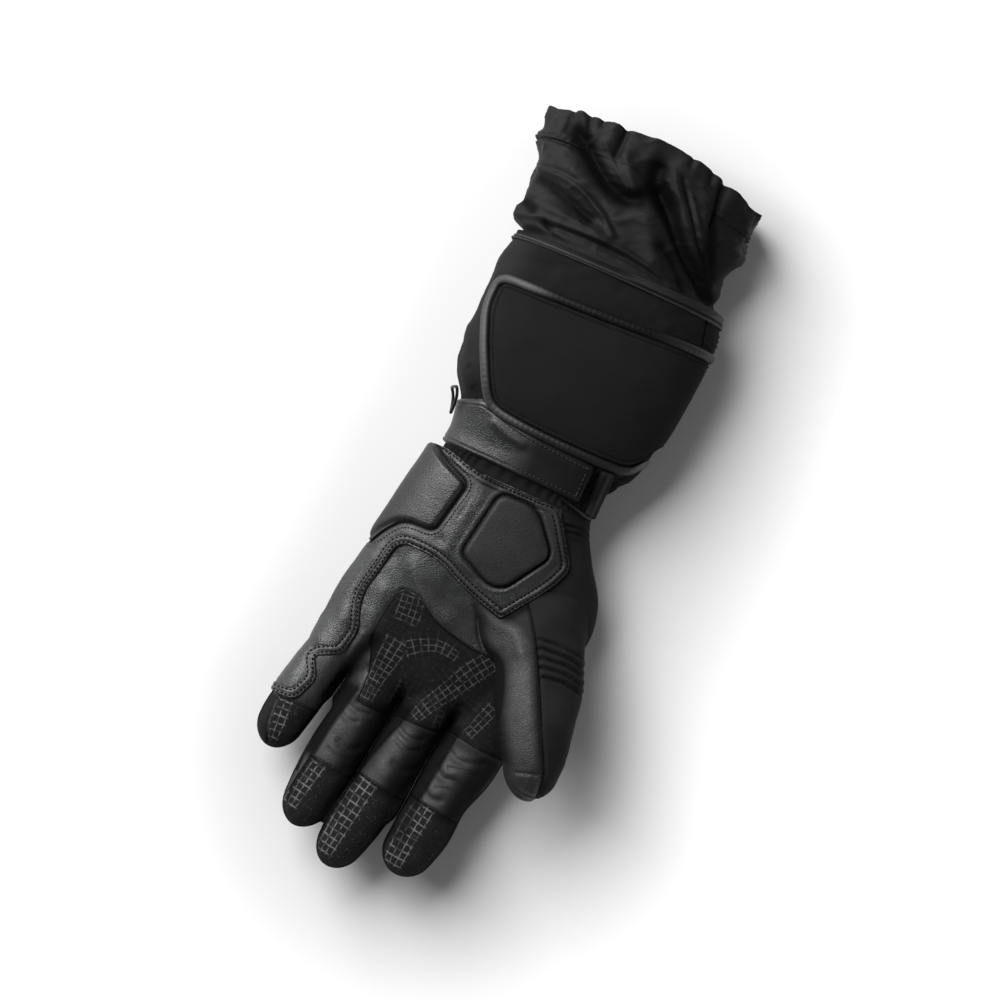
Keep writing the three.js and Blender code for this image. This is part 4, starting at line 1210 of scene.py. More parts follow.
def gauntlet_tube():
    """The tube over the forearm: folds from their table, slow waves, and pleats at the wrist."""
    y = np.linspace(WRIST_TOP + 0.04, GAUNTLET_TOP, 108)
    outer = cuff_grid(y, 0.0)
    flat = outer.reshape(-1, 3)
    rise = creases(flat[:, :2], CUFF_FOLDS) * (flat[:, 2] > 26)
    rise += 0.45 * ripple(flat, 30, 3.0) + 0.15 * ripple(flat, 9, 5.0)
    rise *= np.clip(flat[:, 2] / 4, 0, 1)
    near_wrist = np.clip(1 - (flat[:, 1] - WRIST_TOP) / 12, 0, 1)
    pleats = np.sin(30 * np.arctan2(flat[:, 2] - 24, flat[:, 0]) + 2 * np.sin(flat[:, 0] / 9))
    rise += 0.5 * near_wrist * pleats * (flat[:, 2] > 1)
    outer = lifted(outer, rise.reshape(outer.shape[:2]))
    sleeve = to_mesh("sleeve", wall(outer, cuff_grid(y, -SKIN)))
    # Painted shade over the gauntlet but for its left edge, which faces the light.
    tag(sleeve, "shade", 0.42 * ease(read(sleeve)[:, 0], -50, -36))
    piece("gauntlet_sleeve", sleeve, "nylon_matt", ["gauntlet"])


def facing_tape():
    """The tape round the gauntlet's top, with three notched beads. Its upper edge climbs towards
    the thumb side, where it ends in the gusset."""
    y = np.linspace(GAUNTLET_TOP + 0.04, FACING_TOP, 22)
    outer, inner = cuff_grid(y, 0.5), cuff_grid(y, -SKIN)
    across = y - y[0]
    beads = 0.6 * bump_at(across, 0.5, 0.42) + 0.35 * bump_at(across, 2.0, 0.4)
    beads += 0.25 * bump_at(across, 4.2, 0.5)
    notches = 1 + 0.4 * np.cos(np.arange(CUFF_AROUND) / CUFF_AROUND * 2 * math.pi * 150)[None]
    outer = lifted(outer, beads[:, None] * notches)
    # Painted highlights along the lowest bead and, on the left, the second bead; the upper tape is
    # lighter towards the thumb side; the rest of the tape and its inside get painted shade.
    pale = bump_at(across, 0.5, 0.45)[:, None] * np.ones((1, CUFF_AROUND))
    pale += bump_at(across, 2.0, 0.4)[:, None] * ease(-outer[..., 0], -12, 0)
    pale += 0.55 * ease(across, 1.4, 2.4)[:, None] * ease(outer[..., 0], -2, 14)
    climb = np.clip((outer[..., 0] + 10) / 55, 0, 1) * np.clip((outer[..., 2] - 20) / 20, 0, 1)
    for grid in (outer, inner):
        grid[..., 1] += 1.6 * climb * (across / across[-1])[:, None]
    band = to_mesh("band", wall(outer, inner))
    tag(band, "shade", np.concatenate([1 - np.clip(pale.ravel(), 0, 1), np.ones(inner.size // 3)]))
    piece("top_facing_band", band, "binding_tape", ["top_facing"])


def build_cuff():
    """Wrist gathers, gauntlet and facing: walls round the cuff's sections."""
    wrist_gathers()
    gauntlet_tube()
    facing_tape()


def lifted(grid, rise):
    """A looped grid moved along its own normals, taken from its neighbours' places."""
    around = np.roll(grid, -1, 1) - np.roll(grid, 1, 1)
    along = np.gradient(grid, axis=0)
    normal = np.cross(around, along)
    size = np.linalg.norm(normal, axis=-1, keepdims=True)
    normal = np.where(size > 1e-9, normal / np.maximum(size, 1e-9), [0, 0, 1.0])
    centre = grid.mean(1, keepdims=True)
    sign = np.sign(np.einsum("ijk,ijk->", normal, grid - centre))
    out = grid + sign * normal * rise[..., None]
    out[..., 2] = np.maximum(out[..., 2], 0)
    return out


def cuff_layer(points, high_of, lowest, top=128.0):
    """A layer on the cuff within an outline: its surface lies high_of(places) above the form and
    its underside SEAT above it, and nothing is kept nearer to the floor than lowest."""
    y = np.linspace(4.5, top - 0.5, 190)
    form = cuff_grid(y, 0.0)
    high = lifted(form, high_of(form.reshape(-1, 3)).reshape(form.shape[:2]))
    base = lifted(cuff_grid(np.linspace(4, top, 90), 0.0, 180), np.full((90, 180), SEAT))
    shell = less(to_mesh("high", capped(high)), capped(base))
    shell = within(within(shell, prism(points)), block(-FAR, FAR, -FAR, FAR, lowest))
    return largest(shell)


def flap_edge(inset):
    """The flap's outline, inset, as angles and heights round the cuff, from the thumb side's
    lower end along the bottom, round the nose, and back along the top."""
    line = outline(FLAP, -inset)
    fine = resample(looped(line), 0.8)[:-1]
    rows = cuff_rows(fine[:, 1])
    on_cuff = fine[:, 0] - rows[:, 0] < 0.985 * rows[:, 3]
    start = np.flatnonzero(~on_cuff)[0]
    fine, on_cuff = np.roll(fine, -start, 0), np.roll(on_cuff, -start)
    fine = fine[on_cuff]
    if fine[0, 1] > fine[-1, 1]:
        fine = fine[::-1]
    way = np.c_[cuff_angle(fine[:, 0], fine[:, 1]), fine[:, 1]]
    # Under the cuff's side the edge runs on as the mirror image of its part above.
    first = way[:np.argmax(way[:, 0] > 26)][::-1] * [-1, 1]
    last = way[len(way) - np.argmax(way[::-1, 0] > 26):][::-1] * [-1, 1]
    return np.concatenate([first, way, last])


def cuff_path(way, offset, step=0.7, soft=3):
    """Points and normals along a way of angles and heights, evenly spaced."""
    points, _ = cuff_points(way[:, 0], way[:, 1], offset)
    along = np.concatenate([[0], np.cumsum(np.linalg.norm(np.diff(points, axis=0), axis=1))])
    s = np.linspace(0, along[-1], int(along[-1] / step) + 1)
    way = np.stack([np.interp(s, along, way[:, k]) for k in (0, 1)], 1)
    points, normals = cuff_points(way[:, 0], way[:, 1], offset)
    for _ in range(soft):
        points[1:-1] = (points[:-2] + 2 * points[1:-1] + points[2:]) / 4
        normals[1:-1] = (normals[:-2] + 2 * normals[1:-1] + normals[2:]) / 4
    return points, normals / np.linalg.norm(normals, axis=1)[:, None]


def arch(half, high, e):
    """A half-round profile on a flat base: half times cos, high times sin to a power."""
    turn = np.linspace(0, math.pi, 15)
    over = np.c_[half * np.cos(turn), high * np.sin(turn) ** e]
    return np.concatenate([over, np.c_[np.linspace(-half, half, 7)[1:-1], np.zeros(5)]])


def build_flap():
    """The closure flap, slightly padded, with its rolled binding."""
    inner = outline(FLAP, -BINDING_WIDE)

    def high(p):
        """How high the flap lies: a groove and a sewn bead along its edge."""
        d = np.full(len(p), -9.0)
        near = (p[:, 2] > 6) & (p[:, 1] > 30) & (p[:, 1] < 112)
        d[near] = inside_by(p[near, :2], inner)
        rise = GAP + 1.5 + 0.6 * np.clip(d / 9, 0, 1) ** 0.5
        rise -= 0.8 * bump_at(d, 0.2, 0.6)
        rise += 0.4 * bump_at(d, 1.5, 0.45) - 0.4 * bump_at(d, 2.4, 0.4)
        return rise + 0.2 * ripple(p, 38, 2.0) + 0.03 * ripple(p, 11, 3.0)

    flap = cuff_layer(inner, high, FLAP_LOWEST)
    piece("cuff_flap_panel", flap, "flap_fabric", ["cuff_flap"])
    points, normals = cuff_path(flap_edge(BINDING_WIDE / 2), GAP)
    along = np.arange(len(points)) * 0.7
    pucker = 1 + 0.035 * np.sin(along / 2.7 * 2 * math.pi)
    pucker += 0.04 * np.sin(along / 11 + np.sin(along / 5))
    # The binding lies flatter where it turns under the cuff.
    pucker *= 1 - 0.72 * ease(points[:, 0], 40, 48) * ease(-points[:, 1], -66, -56)
    heights = np.stack([np.ones_like(pucker), pucker], 1)
    profile = arch(BINDING_WIDE / 2 + 0.1, 2.4, 0.6)[None] * heights[:, None]
    roll = to_mesh("roll", sweep(points, normals, profile))
    at = read(roll)
    # Painted shade along the binding's top, less towards its right end, and along its lower edge from
    # the middle rightwards.
    top = ease(at[:, 1], 88, 99) * ease(at[:, 0], -38, -20)
    low = ease(-at[:, 1], -44, -37) * ease(at[:, 0], -22, 0)
    tag(roll, "shade", top * (0.9 - 0.5 * ease(at[:, 0], 20, 46)) + 0.55 * low)
    piece("flap_binding_roll", roll, "binding_tape", ["flap_binding"])


def strap_band():
    """The wrist strap: a rounded edge, a sewn groove inside it, and soft folds."""
    points = outline(STRAP)

    def high(p):
        """How high the strap lies."""
        d = np.full(len(p), -9.0)
        near = (p[:, 2] > 12) & (p[:, 1] > 10) & (p[:, 1] < 50)
        d[near] = inside_by(p[near, :2], points)
        rise = GAP + 0.7 + 1.9 * edge_round(d, 1.6)
        rise -= 0.4 * bump_at(d, 2.4, 0.4)
        rise += creases(p[:, :2], STRAP_FOLDS) * (d > 1)
        return rise + 0.12 * ripple(p, 17, 1.0) + 0.03 * ripple(p, 6, 3.0)

    band = cuff_layer(points, high, STRAP_LOWEST, 60.0)
    band = largest(less(band, prism(outline(FLAP, GAP))))
    # Painted shade over the strap's right half, which turns away from the light.
    tag(band, "shade", 0.82 * ease(read(band)[:, 0], -17, 1))
    piece("wrist_strap_band", band, "leather_grained", ["wrist_strap"])


def keeper_loop():
    """The keeper: a flattened roll across the strap's line, in painted shade but for one painted
    highlight streak along it.
    """
    y = np.linspace(11.2, 35.8, 60)
    x = np.full(len(y), KEEPER_X)
    path, normals = cuff_points(cuff_angle(x, y), y, 0.2)
    loop = to_mesh("loop", sweep(path, normals, arch(3.6, 3.5, 0.35), 1.4))
    at = read(loop)
    off = at[:, 0] - np.interp(at[:, 1], y, path[:, 0])
    tag(loop, "shade", 0.85 - 0.35 * bump_at(off, 1.6, 0.8))
    piece("strap_keeper_loop", loop, "leather_smooth", ["strap_keeper"])


def wires():
    """The ring's bar, and the hook: a triangle of wire, its corners rounded by smoothing."""
    bar = curve(np.array(RING_BAR), 0.4)
    path, _ = cuff_points(bar[:, 0], bar[:, 1], 1.5)
    piece("strap_ring_bar", tube(path, 0.9, 14), "metal_coated", ["strap_ring"])
    line = resample(np.array(HOOK + HOOK[:1], float), 0.25)
    for _ in range(30):
        line[:-1] = (np.roll(line[:-1], 1, 0) + 2 * line[:-1] + np.roll(line[:-1], -1, 0)) / 4
    path, _ = cuff_points(line[:-1, 0], line[:-1, 1], 5.4)
    hook = tube(path, 0.75, 12, closed=True)
    piece("glove_hook_wire", hook, "metal_coated", ["glove_hook"])


def build_strap():
    """The wrist strap, its keeper loop, the ring's bar and the wire hook."""
    strap_band()
    keeper_loop()
    wires()


def storm_rows(y):
    """Sections of the storm cuff at heights y: inside the gauntlet's wall up to the facing, and
    from their own table beyond it."""
    inset = SKIN + GAP
    neck = []
    for row in cuff_rows([STORM_BASE, 116, FACING_TOP + GAP]):
        neck.append(tuple(row[:3]) + tuple(row[3:] - inset))
    return rows_where(neck + STORM, y)


def storm_folds(p, plan, turn):
    """The rise of the folds: the palm side's from their table, slanting waves on the sides and
    back, fine ridges all over, and the hem's gathers and sewn rows."""
    y = p[:, 1]
    top = np.sqrt(np.clip(np.sin(turn), 0, 1))
    lift = creases(plan, STORM_FOLDS, 1.7) * top
    slant = np.sin(9 * turn + y / 7.5 + 1.4 * np.sin(2 * turn + y / 17))
    cross = np.sin(y / 3.6 + 2.2 * np.sin(3 * turn + 0.4) + 1.2 * np.sin(7 * turn))
    lift += (1 - 0.93 * top) * (1.3 * slant + 0.6 * cross)
    lift += 0.3 * ripple(p, 17, 2.0) + 0.06 * ripple(p, 7, 6.0)
    for high, wave, seed in ((0.55, 31, 7.0), (0.3, 19, 4.0)):
        lift += high * (1 - np.abs(ripple(p, wave, seed))) ** 6
    # The hem's gathers are nearly smooth on the palm side.
    gather = ease(y, 166, 171) * (1 - 0.9 * ease(np.sin(turn), -0.3, 0.1))
    phase = 27 * turn + 2.2 * np.sin(3 * turn) + 0.9 * np.sin(7 * turn + 1)
    lift += gather * (0.8 * np.sin(phase) + 0.25 * np.sin(1.6 * phase + 2))
    sewn = np.maximum(1 - top, ease(-p[:, 0], 34, 46)) + 0.12
    lift -= sewn * (1.5 * bump_at(y, 172.6, 1.2) + 0.9 * bump_at(y, 175.6, 0.8))
    lift += sewn * 0.35 * np.sin(2.1 * phase) * bump_at(y, 174, 2.4)
    return lift * np.clip((y - 124.5) / 5, 0, 1), gather, phase


def storm_grid(y, offset):
    """Loops of the storm cuff: sections that billow out, with the folds lifted along the radius and
    the top edge bowed in plan by a table over X."""
    angles = np.linspace(0, 2 * math.pi, STORM_AROUND, endpoint=False)[None]
    floor = np.interp(y, [STORM_BASE, 124, 132], [SKIN + GAP, SKIN + GAP, 0.0])[:, None]
    floor = floor - min(0, offset)
    grid = sections(storm_rows(y), SQUARE, angles, offset, PALM_SQUARE, floor)
    p = grid.reshape(-1, 3)
    turn = np.broadcast_to(angles, grid.shape[:2]).ravel()
    plan = p[:, :2].copy()
    bow = curve(HEM_BOW, 1.0)
    plan[:, 1] -= np.interp(p[:, 0], bow[:, 0], bow[:, 1]) * ease(p[:, 1], 145, 191)
    lift, gather, phase = storm_folds(p, plan, turn)
    edge = 0.6 * gather * np.sin(phase + 0.7) + 0.45 * np.clip(lift, -3, 1)
    height = plan[:, 1] + np.clip((p[:, 1] - 178) / 10, 0, 1) * edge
    x, z = p[:, 0] + np.cos(turn) * lift, p[:, 2] + np.sin(turn) * lift
    floor = np.broadcast_to(floor, grid.shape[:2]).ravel()
    return np.stack([x, height, np.maximum(z, floor)], 1).reshape(grid.shape)


def shaded(name, shape):
    """A mesh of the storm cuff, with painted shade in its valleys and on its thumb side."""
    mesh = to_mesh(name, shape)
    v = read(mesh)
    deep = ease(-creases(v[:, :2], [f for f in STORM_FOLDS if f[1] < 0], 1.7), 0.5, 3.6)
    shade = np.clip(0.95 * deep + 0.3 * ease(v[:, 0], -12, 34), 0, 0.95)
    tag(mesh, "shade", shade * ease(v[:, 2], 18, 30))
    return mesh


def build_storm():
    """The storm cuff's fabric and its gathered hem."""
    y = np.linspace(STORM_BASE, HEM_Y, 96)
    sleeve = shaded("sleeve", wall(storm_grid(y, 0.0), storm_grid(y, -STORM_SKIN)))
    y = np.linspace(HEM_Y + 0.1, HEM_TOP, 30)
    casing = shaded("casing", wall(storm_grid(y, 0.1), storm_grid(y, -HEM_SKIN)))
    hem = piece("cuff_hem_casing", casing, "nylon_cloth", ["cuff_hem"], 70)
    cuff = piece("storm_cuff_sleeve", sleeve, "nylon_cloth", ["storm_cuff"], 70)


# Stitches


def stitch_shape(length, radius, sides=6):
    """One stitch: a spindle of four rings that dips at both ends."""
    turn = np.linspace(0, 2 * math.pi, sides, endpoint=False)
    stations = [(-0.5, 0.0, -0.8), (-0.4, 0.75, -0.35), (-0.15, 1.0, 0.25), (0.15, 1.0, 0.25),
                (0.4, 0.75, -0.35), (0.5, 0.0, -0.8)]
    rings = []
    for along, wide, high in stations[1:-1]:
        rings.append(np.c_[np.full(sides, along * length), np.cos(turn) * radius * wide,
                           np.sin(turn) * radius * wide + high * radius])
    verts, groups = capped(np.array(rings))
    verts[-2] = (stations[0][0] * length, 0, stations[0][2] * radius)
    verts[-1] = (stations[-1][0] * length, 0, stations[-1][2] * radius)
    return verts, groups


def trees(names):
    """A tree of several pieces' triangles, for ray casts."""
    verts, faces, start = [], [], 0
    for name in names:
        mesh = bpy.data.objects[name].data
        mesh.calc_loop_triangles()
        tris = np.empty(len(mesh.loop_triangles) * 3, np.int32)
        mesh.loop_triangles.foreach_get("vertices", tris)
        v = read(mesh)
        verts.append(v)
        faces.append(tris.reshape(-1, 3) + start)
        start += len(v)
    return BVHTree.FromPolygons(np.concatenate(verts).tolist(), np.concatenate(faces).tolist())


def stitched(name, rows, targets, length=2.1, radius=0.3, sink=0.1, material="thread"):
    """Rows of stitches laid on pieces: each stitch is placed under a point of its line, along it."""
    tree = trees(targets)
    places, ways, ups = [], [], []
    for row in rows:
        line = resample(np.asarray(row, float), length * 1.28)
        middle = (line[:-1] + line[1:]) / 2
        for (x, y), (wx, wy) in zip(middle, line[1:] - line[:-1]):
            size = math.hypot(wx, wy)
            ends = []
            for t in (-0.45, 0.0, 0.45):
                hit, normal, _, _ = tree.ray_cast(
                    Vector((x + wx * t, y + wy * t, 120)), Vector((0, 0, -1)))
                ends.append((hit, normal))
            if any(h is None for h, _ in ends):
                continue
            a, b = np.array(ends[0][0]), np.array(ends[2][0])
            if abs(a[2] - b[2]) > 2.2 * size or ends[1][1][2] < 0.4:
                continue
            places.append(np.array(ends[1][0]))
            ways.append(b - a)
            ups.append(np.array(ends[1][1]))
    if not places:
        raise RuntimeError(f"no stitches for {name}")
    places, ways, ups = np.array(places), np.array(ways), np.array(ups)
    ways /= np.linalg.norm(ways, axis=1)[:, None]
    sides = np.cross(ups, ways)
    sides /= np.linalg.norm(sides, axis=1)[:, None]
    ups = np.cross(ways, sides)
    verts, groups = stitch_shape(length, radius)
    all_verts = (places - ups * sink)[:, None] + (
        verts[None, :, 0:1] * ways[:, None] + verts[None, :, 1:2] * sides[:, None]
        + verts[None, :, 2:3] * ups[:, None])
    n, m = len(places), len(verts)
    shift = (np.arange(n) * m)[:, None, None]
    groups = [(g[None] + shift).reshape(-1, g.shape[1]) for g in groups]
    return piece(name, outward(all_verts.reshape(-1, 3), groups), material, sharp=0)


def inset_line(corners, inset, first, last):
    """Part of an outline moved in, between the points nearest to two places."""
    line = resample(looped(outline(corners, -inset)), 0.5)[:-1]
    i = np.hypot(*(line - first).T).argmin()
    j = np.hypot(*(line - last).T).argmin()
    line = np.roll(line, -i, 0)
    j = (j - i) % len(line)
    return line[:j + 1]


def build_stitches():
    """Rows of stitches along the sewn edges."""
    overlay = ["palm_overlay_panel"]
    # Inside the overlay's free edge, and along its edge at the wrist.
    first, last = np.array([20.5, 10]), np.array([-71, -126.3])
    rows = [inset_line(HEEL_OVERLAY, k, first, last) for k in (1.5, 4.1)]
    rows.append(inset_line(HEEL_OVERLAY, 1.3, np.array([-44, 14]), np.array([17, 9])))
    stitched("overlay_stitches", rows, overlay, 1.65, 0.46, 0.05, "thread_dark")
    # Round the pads.
    rows = [inset_line(HEEL_PAD, k, np.array([-48, 13]), np.array([-57, -40])) for k in (-1.1, -3.4)]
    rows.append(looped(outline(THENAR_PAD, 0.6)))
    stitched("pad_stitches", rows, overlay, 1.3, 0.34, 0.05, "thread_dark")
    # Above the grip patch, and on both sides of the seams of the fingertips.
    panels = [f"{k}_panel" for k in (*TIPS, *FRONTS, "palm_leather", "palm_grip", "side_softshell")]
    rows = [curve(HAND_SEAMS["grip_top"][2:], 0.5) + [0, 1.3]]
    for shift in (1.2, -1.6):
        rows += [curve(HAND_SEAMS[k][2:], 0.5) + [0, shift] for k in TIP_SEAMS]
    stitched("hand_stitches", rows, panels, 1.6, 0.2, material="thread_dark")
    # Beside the thumb's seam, and at its tip.
    rows = [curve(THUMB_SEAMS[0][2:], 0.5) - [1.9, 0.2]]
    rows.append(curve([(55.5, -121.3), (62, -121.6), (68, -121.3)]))
    panels = ["thumb_leather_panel", "thumb_softshell_panel"]
    stitched("thumb_stitches", rows, panels, 1.6, 0.2, material="thread_dark")
    # Inside the flap's binding, from one end of its edge on the cuff to the other.
    fine = resample(looped(outline(FLAP, -BINDING_WIDE - 1.3)), 0.5)
    fine = fine[fine[:, 0] < 56]
    gap = np.hypot(*np.diff(fine, axis=0).T).argmax()
    fine = np.concatenate([fine[gap + 1:], fine[:gap + 1]])
    stitched("flap_stitches", [fine], ["cuff_flap_panel"], 1.7, 0.24, material="thread_dark")
    # Across the strap's end.
    rows = [inset_line(STRAP, 2.6, np.array([26, 35]), np.array([27, 30]))]
    stitched("strap_stitches", rows, ["wrist_strap_band"], 1.8, 0.24)


# Materials
# The colour of painted shade.
SHADE_BLACK = (0.0015, 0.0015, 0.0016, 1)


class Value:
    """A number from a node's socket, with arithmetic that adds Math nodes."""

    def __init__(self, sheet, socket):
        self.sheet, self.socket = sheet, socket

    def math(self, operation, *others):
        """A Math node on this number and the others."""
        return self.sheet.node("ShaderNodeMath", {"operation": operation}, [self, *others])

    def __add__(self, other):
        return self.math("ADD", other)

    def __radd__(self, other):
        return self.math("ADD", other)

    def __sub__(self, other):
        return self.math("SUBTRACT", other)

    def __rsub__(self, other):
        return self.sheet.node("ShaderNodeMath", {"operation": "SUBTRACT"}, [other, self])

    def __mul__(self, other):
        return self.math("MULTIPLY", other)

    def __rmul__(self, other):
        return self.math("MULTIPLY", other)

    def __pow__(self, other):
        return self.math("POWER", other)

    def band(self, low, high):
        """0 below low, 1 above high, smooth between."""
        return self.sheet.node(
            "ShaderNodeMapRange", {"interpolation_type": "SMOOTHSTEP"},
            {"Value": self, "From Min": low, "From Max": high})


class Sheet:
    """A material's node tree."""

    def __init__(self, name):
        self.material = bpy.data.materials.new(name)
        self.material.use_nodes = True
        self.tree = self.material.node_tree
        self.shader = self.tree.nodes["Principled BSDF"]
        self.output = self.tree.nodes["Material Output"]

    def feed(self, socket, value):
        """Links a Value to a socket, or sets the socket's own value."""
        if isinstance(value, Value):
            self.tree.links.new(value.socket, socket)
        else:
            socket.default_value = value

    def node(self, kind, settings=None, inputs=None, out=0):
        """Adds a node: settings first, then values or links for its sockets."""
        made = self.tree.nodes.new(kind)
        for key, value in (settings or {}).items():
            setattr(made, key, value)
        pairs = inputs.items() if isinstance(inputs, dict) else enumerate(inputs or [])
        for key, value in pairs:
            self.feed(made.inputs[key], value)
        return Value(self, made.outputs[out])

    def place(self):
        """Object coordinates in millimetres."""
        here = self.node("ShaderNodeTexCoord", out="Object")
        return self.node("ShaderNodeMapping", {}, {"Vector": here, "Scale": (1 / MM, 1 / MM, 1 / MM)})

    def parts(self, vector):
        """The x, y and z of a vector."""
        split = self.tree.nodes.new("ShaderNodeSeparateXYZ")
        self.feed(split.inputs[0], vector)
        return [Value(self, split.outputs[k]) for k in range(3)]

    def tagged(self, name):
        """The number that each vertex was given under a name."""
        return self.node("ShaderNodeAttribute", {"attribute_name": name}, out="Fac")

    def noise(self, where, scale, detail=3.0, rough=0.55):
        """Noise with its scale in cells per millimetre."""
        return self.node("ShaderNodeTexNoise", {}, {
            "Vector": where, "Scale": scale, "Detail": detail, "Roughness": rough})

    def mix(self, factor, first, second):
        """Two colours mixed by a factor."""
        return self.node("ShaderNodeMix", {"data_type": "RGBA"}, {0: factor, 6: first, 7: second}, 2)

    def paint_shade(self, share):
        """Paints shade: mixes the shader with one that is nearly black and matt, by a share of the
        surface.
        """
        matt = self.node("ShaderNodeBsdfPrincipled", {}, {
            "Base Color": SHADE_BLACK, "Roughness": 0.95, "Specular IOR Level": 0.04})
        both = self.node("ShaderNodeMixShader", {}, {
            0: share, 1: Value(self, self.shader.outputs[0]), 2: matt})
        self.feed(self.output.inputs["Surface"], both)

    def finish(self, colour, roughness, height, strength, distance, **constants):
        """Sends colour, roughness and a bump to the shader, and sets its constants."""
        normal = self.node("ShaderNodeBump", {}, {
            "Strength": strength, "Distance": distance, "Height": height})
        for key, value in (("Base Color", colour), ("Roughness", roughness), ("Normal", normal)):
            self.feed(self.shader.inputs[key], value)
        for key, value in constants.items():
            self.shader.inputs[key.replace("_", " ")].default_value = value


def tone(colour, factor=1.0):
    """A colour times a factor, with alpha."""
    return tuple(min(c * factor, 1) for c in colour) + (1.0,)


def leather(name, colour, grain, rough, shine):
    """Grained leather: pebbles from the distance to Voronoi edges, finer wrinkles over them, and
    slow changes of tone and gloss."""
    sheet = Sheet(name)
    where = sheet.place()
    warp = sheet.noise(where, 0.35, 2.0)
    cells = sheet.node("ShaderNodeTexVoronoi", {"feature": "DISTANCE_TO_EDGE"}, {
        "Vector": where, "Scale": 1.0, "Randomness": 1.0})
    pebble = cells.band(0.02, 0.3)
    fine = sheet.noise(where, 2.6, 4.0, 0.6)
    slow = sheet.noise(where, 0.035, 3.0)
    blotch = sheet.noise(where, 0.16, 3.0)
    height = pebble * (0.7 * grain) + fine * (0.45 * grain) + warp * 0.35
    light = (slow * 0.6 + blotch * 0.5).band(0.35, 0.8)
    base = sheet.mix(light, tone(colour, 0.8), tone(colour, 1.2))
    base = sheet.mix((1 - pebble) * (0.35 * grain), base, tone(colour, 0.45))
    # Painted shade from the 'shade' numbers: darker, rougher, and mixed towards matt black.
    shade = sheet.tagged("shade")
    base = sheet.mix(shade, base, tone(colour, 0.3))
    gloss = blotch * 0.16 + fine * 0.12 + shade * 0.42 + (rough - 0.14)
    sheet.finish(base, gloss, height, 0.5, 0.00026, Specular_IOR_Level=shine)
    sheet.paint_shade(shade * shade * 0.9)


def grip(name, colour, line_colour):
    """Suede with raised grid lines, their light grey a painted highlight where they catch the light:
    lines lie where the UV map's numbers are whole, worn away in places; elsewhere a fine uneven nap."""
    sheet = Sheet(name)
    where = sheet.place()
    nap = sheet.noise(where, 3.2, 4.0, 0.65)
    slow = sheet.noise(where, 0.12, 3.0)
    wear = sheet.noise(where, 0.42, 3.0, 0.6)
    bend = sheet.noise(where, 0.5, 2.0)
    across, along, _ = sheet.parts(sheet.node("ShaderNodeUVMap", {"uv_map": "grid"}))
    near = []
    for count, sway in ((across, 0.22), (along, -0.18)):
        at = count + (bend - 0.5) * sway
        off = (at - at.math("ROUND")).math("ABSOLUTE")
        near.append(1 - off.band(0.045, 0.125))
    lines = near[0].math("MAXIMUM", near[1]) * sheet.tagged("lines")
    # Painted shade from the 'shade' numbers: darker suede, fainter lines and a mix towards matt
    # black.
    shade = sheet.tagged("shade")
    worn = wear.band(0.4, 0.57) * 0.82 + 0.18
    shown = lines * worn * (1.35 - shade * 1.35).math("MINIMUM", 1.0)
    specks = sheet.noise(where, 1.1, 2.0, 0.7).band(0.6, 0.7) * wear.band(0.42, 0.54)
    base = sheet.mix(slow.band(0.3, 0.75), tone(colour, 0.7), tone(colour, 1.3))
    base = sheet.mix(nap.band(0.5, 0.8) * 0.5, base, tone(colour, 1.9))
    base = sheet.mix(specks * 0.32, base, tone(line_colour))
    base = sheet.mix(shown * 0.72, base, tone(line_colour))
    base = sheet.mix(shade, base, tone(colour, 0.5))
    rough = 0.88 - shown * 0.3
    sheet.finish(base, rough, nap * 0.6 + lines * 0.7, 0.6, 0.00025, Specular_IOR_Level=0.2)
    sheet.paint_shade(shade * 0.75)


def woven(name, colour, pitch, rough, relief, slow_tone, shine):
    """Plain weave: crossed waves of thread at the given pitch in millimetres, on object
    coordinates, with slow changes of tone."""
    sheet = Sheet(name)
    where = sheet.place()
    x, y, z = sheet.parts(where)
    turn = 2 * math.pi / pitch
    shade = sheet.tagged("shade")
    warp = ((x + z * 0.7) * turn).math("SINE")
    weft = (y * turn).math("SINE")
    weave = warp * weft
    fuzz = sheet.noise(where, 2.4, 3.0, 0.6)
    slow = sheet.noise(where, 0.05, 3.0)
    light = slow.band(0.3, 0.7)
    base = sheet.mix(light, tone(colour, 1 - slow_tone), tone(colour, 1 + slow_tone))
    base = sheet.mix(weave.band(-0.2, 1.0) * 0.4, base, tone(colour, 1.9))
    # Painted shade from the 'shade' numbers: a darker colour, and a mix towards matt black below.
    base = sheet.mix(shade, base, tone(colour, 0.35))
    height = weave * 0.5 + fuzz * 0.9
    gloss = fuzz * 0.12 + (rough - 0.06)
    sheet.finish(base, gloss, height, relief, 0.0002, Specular_IOR_Level=shine)
    sheet.paint_shade(shade * 0.8)


def scaled(colour, factor):
    """A colour setting times a factor."""
    return tuple(factor * k for k in colour)


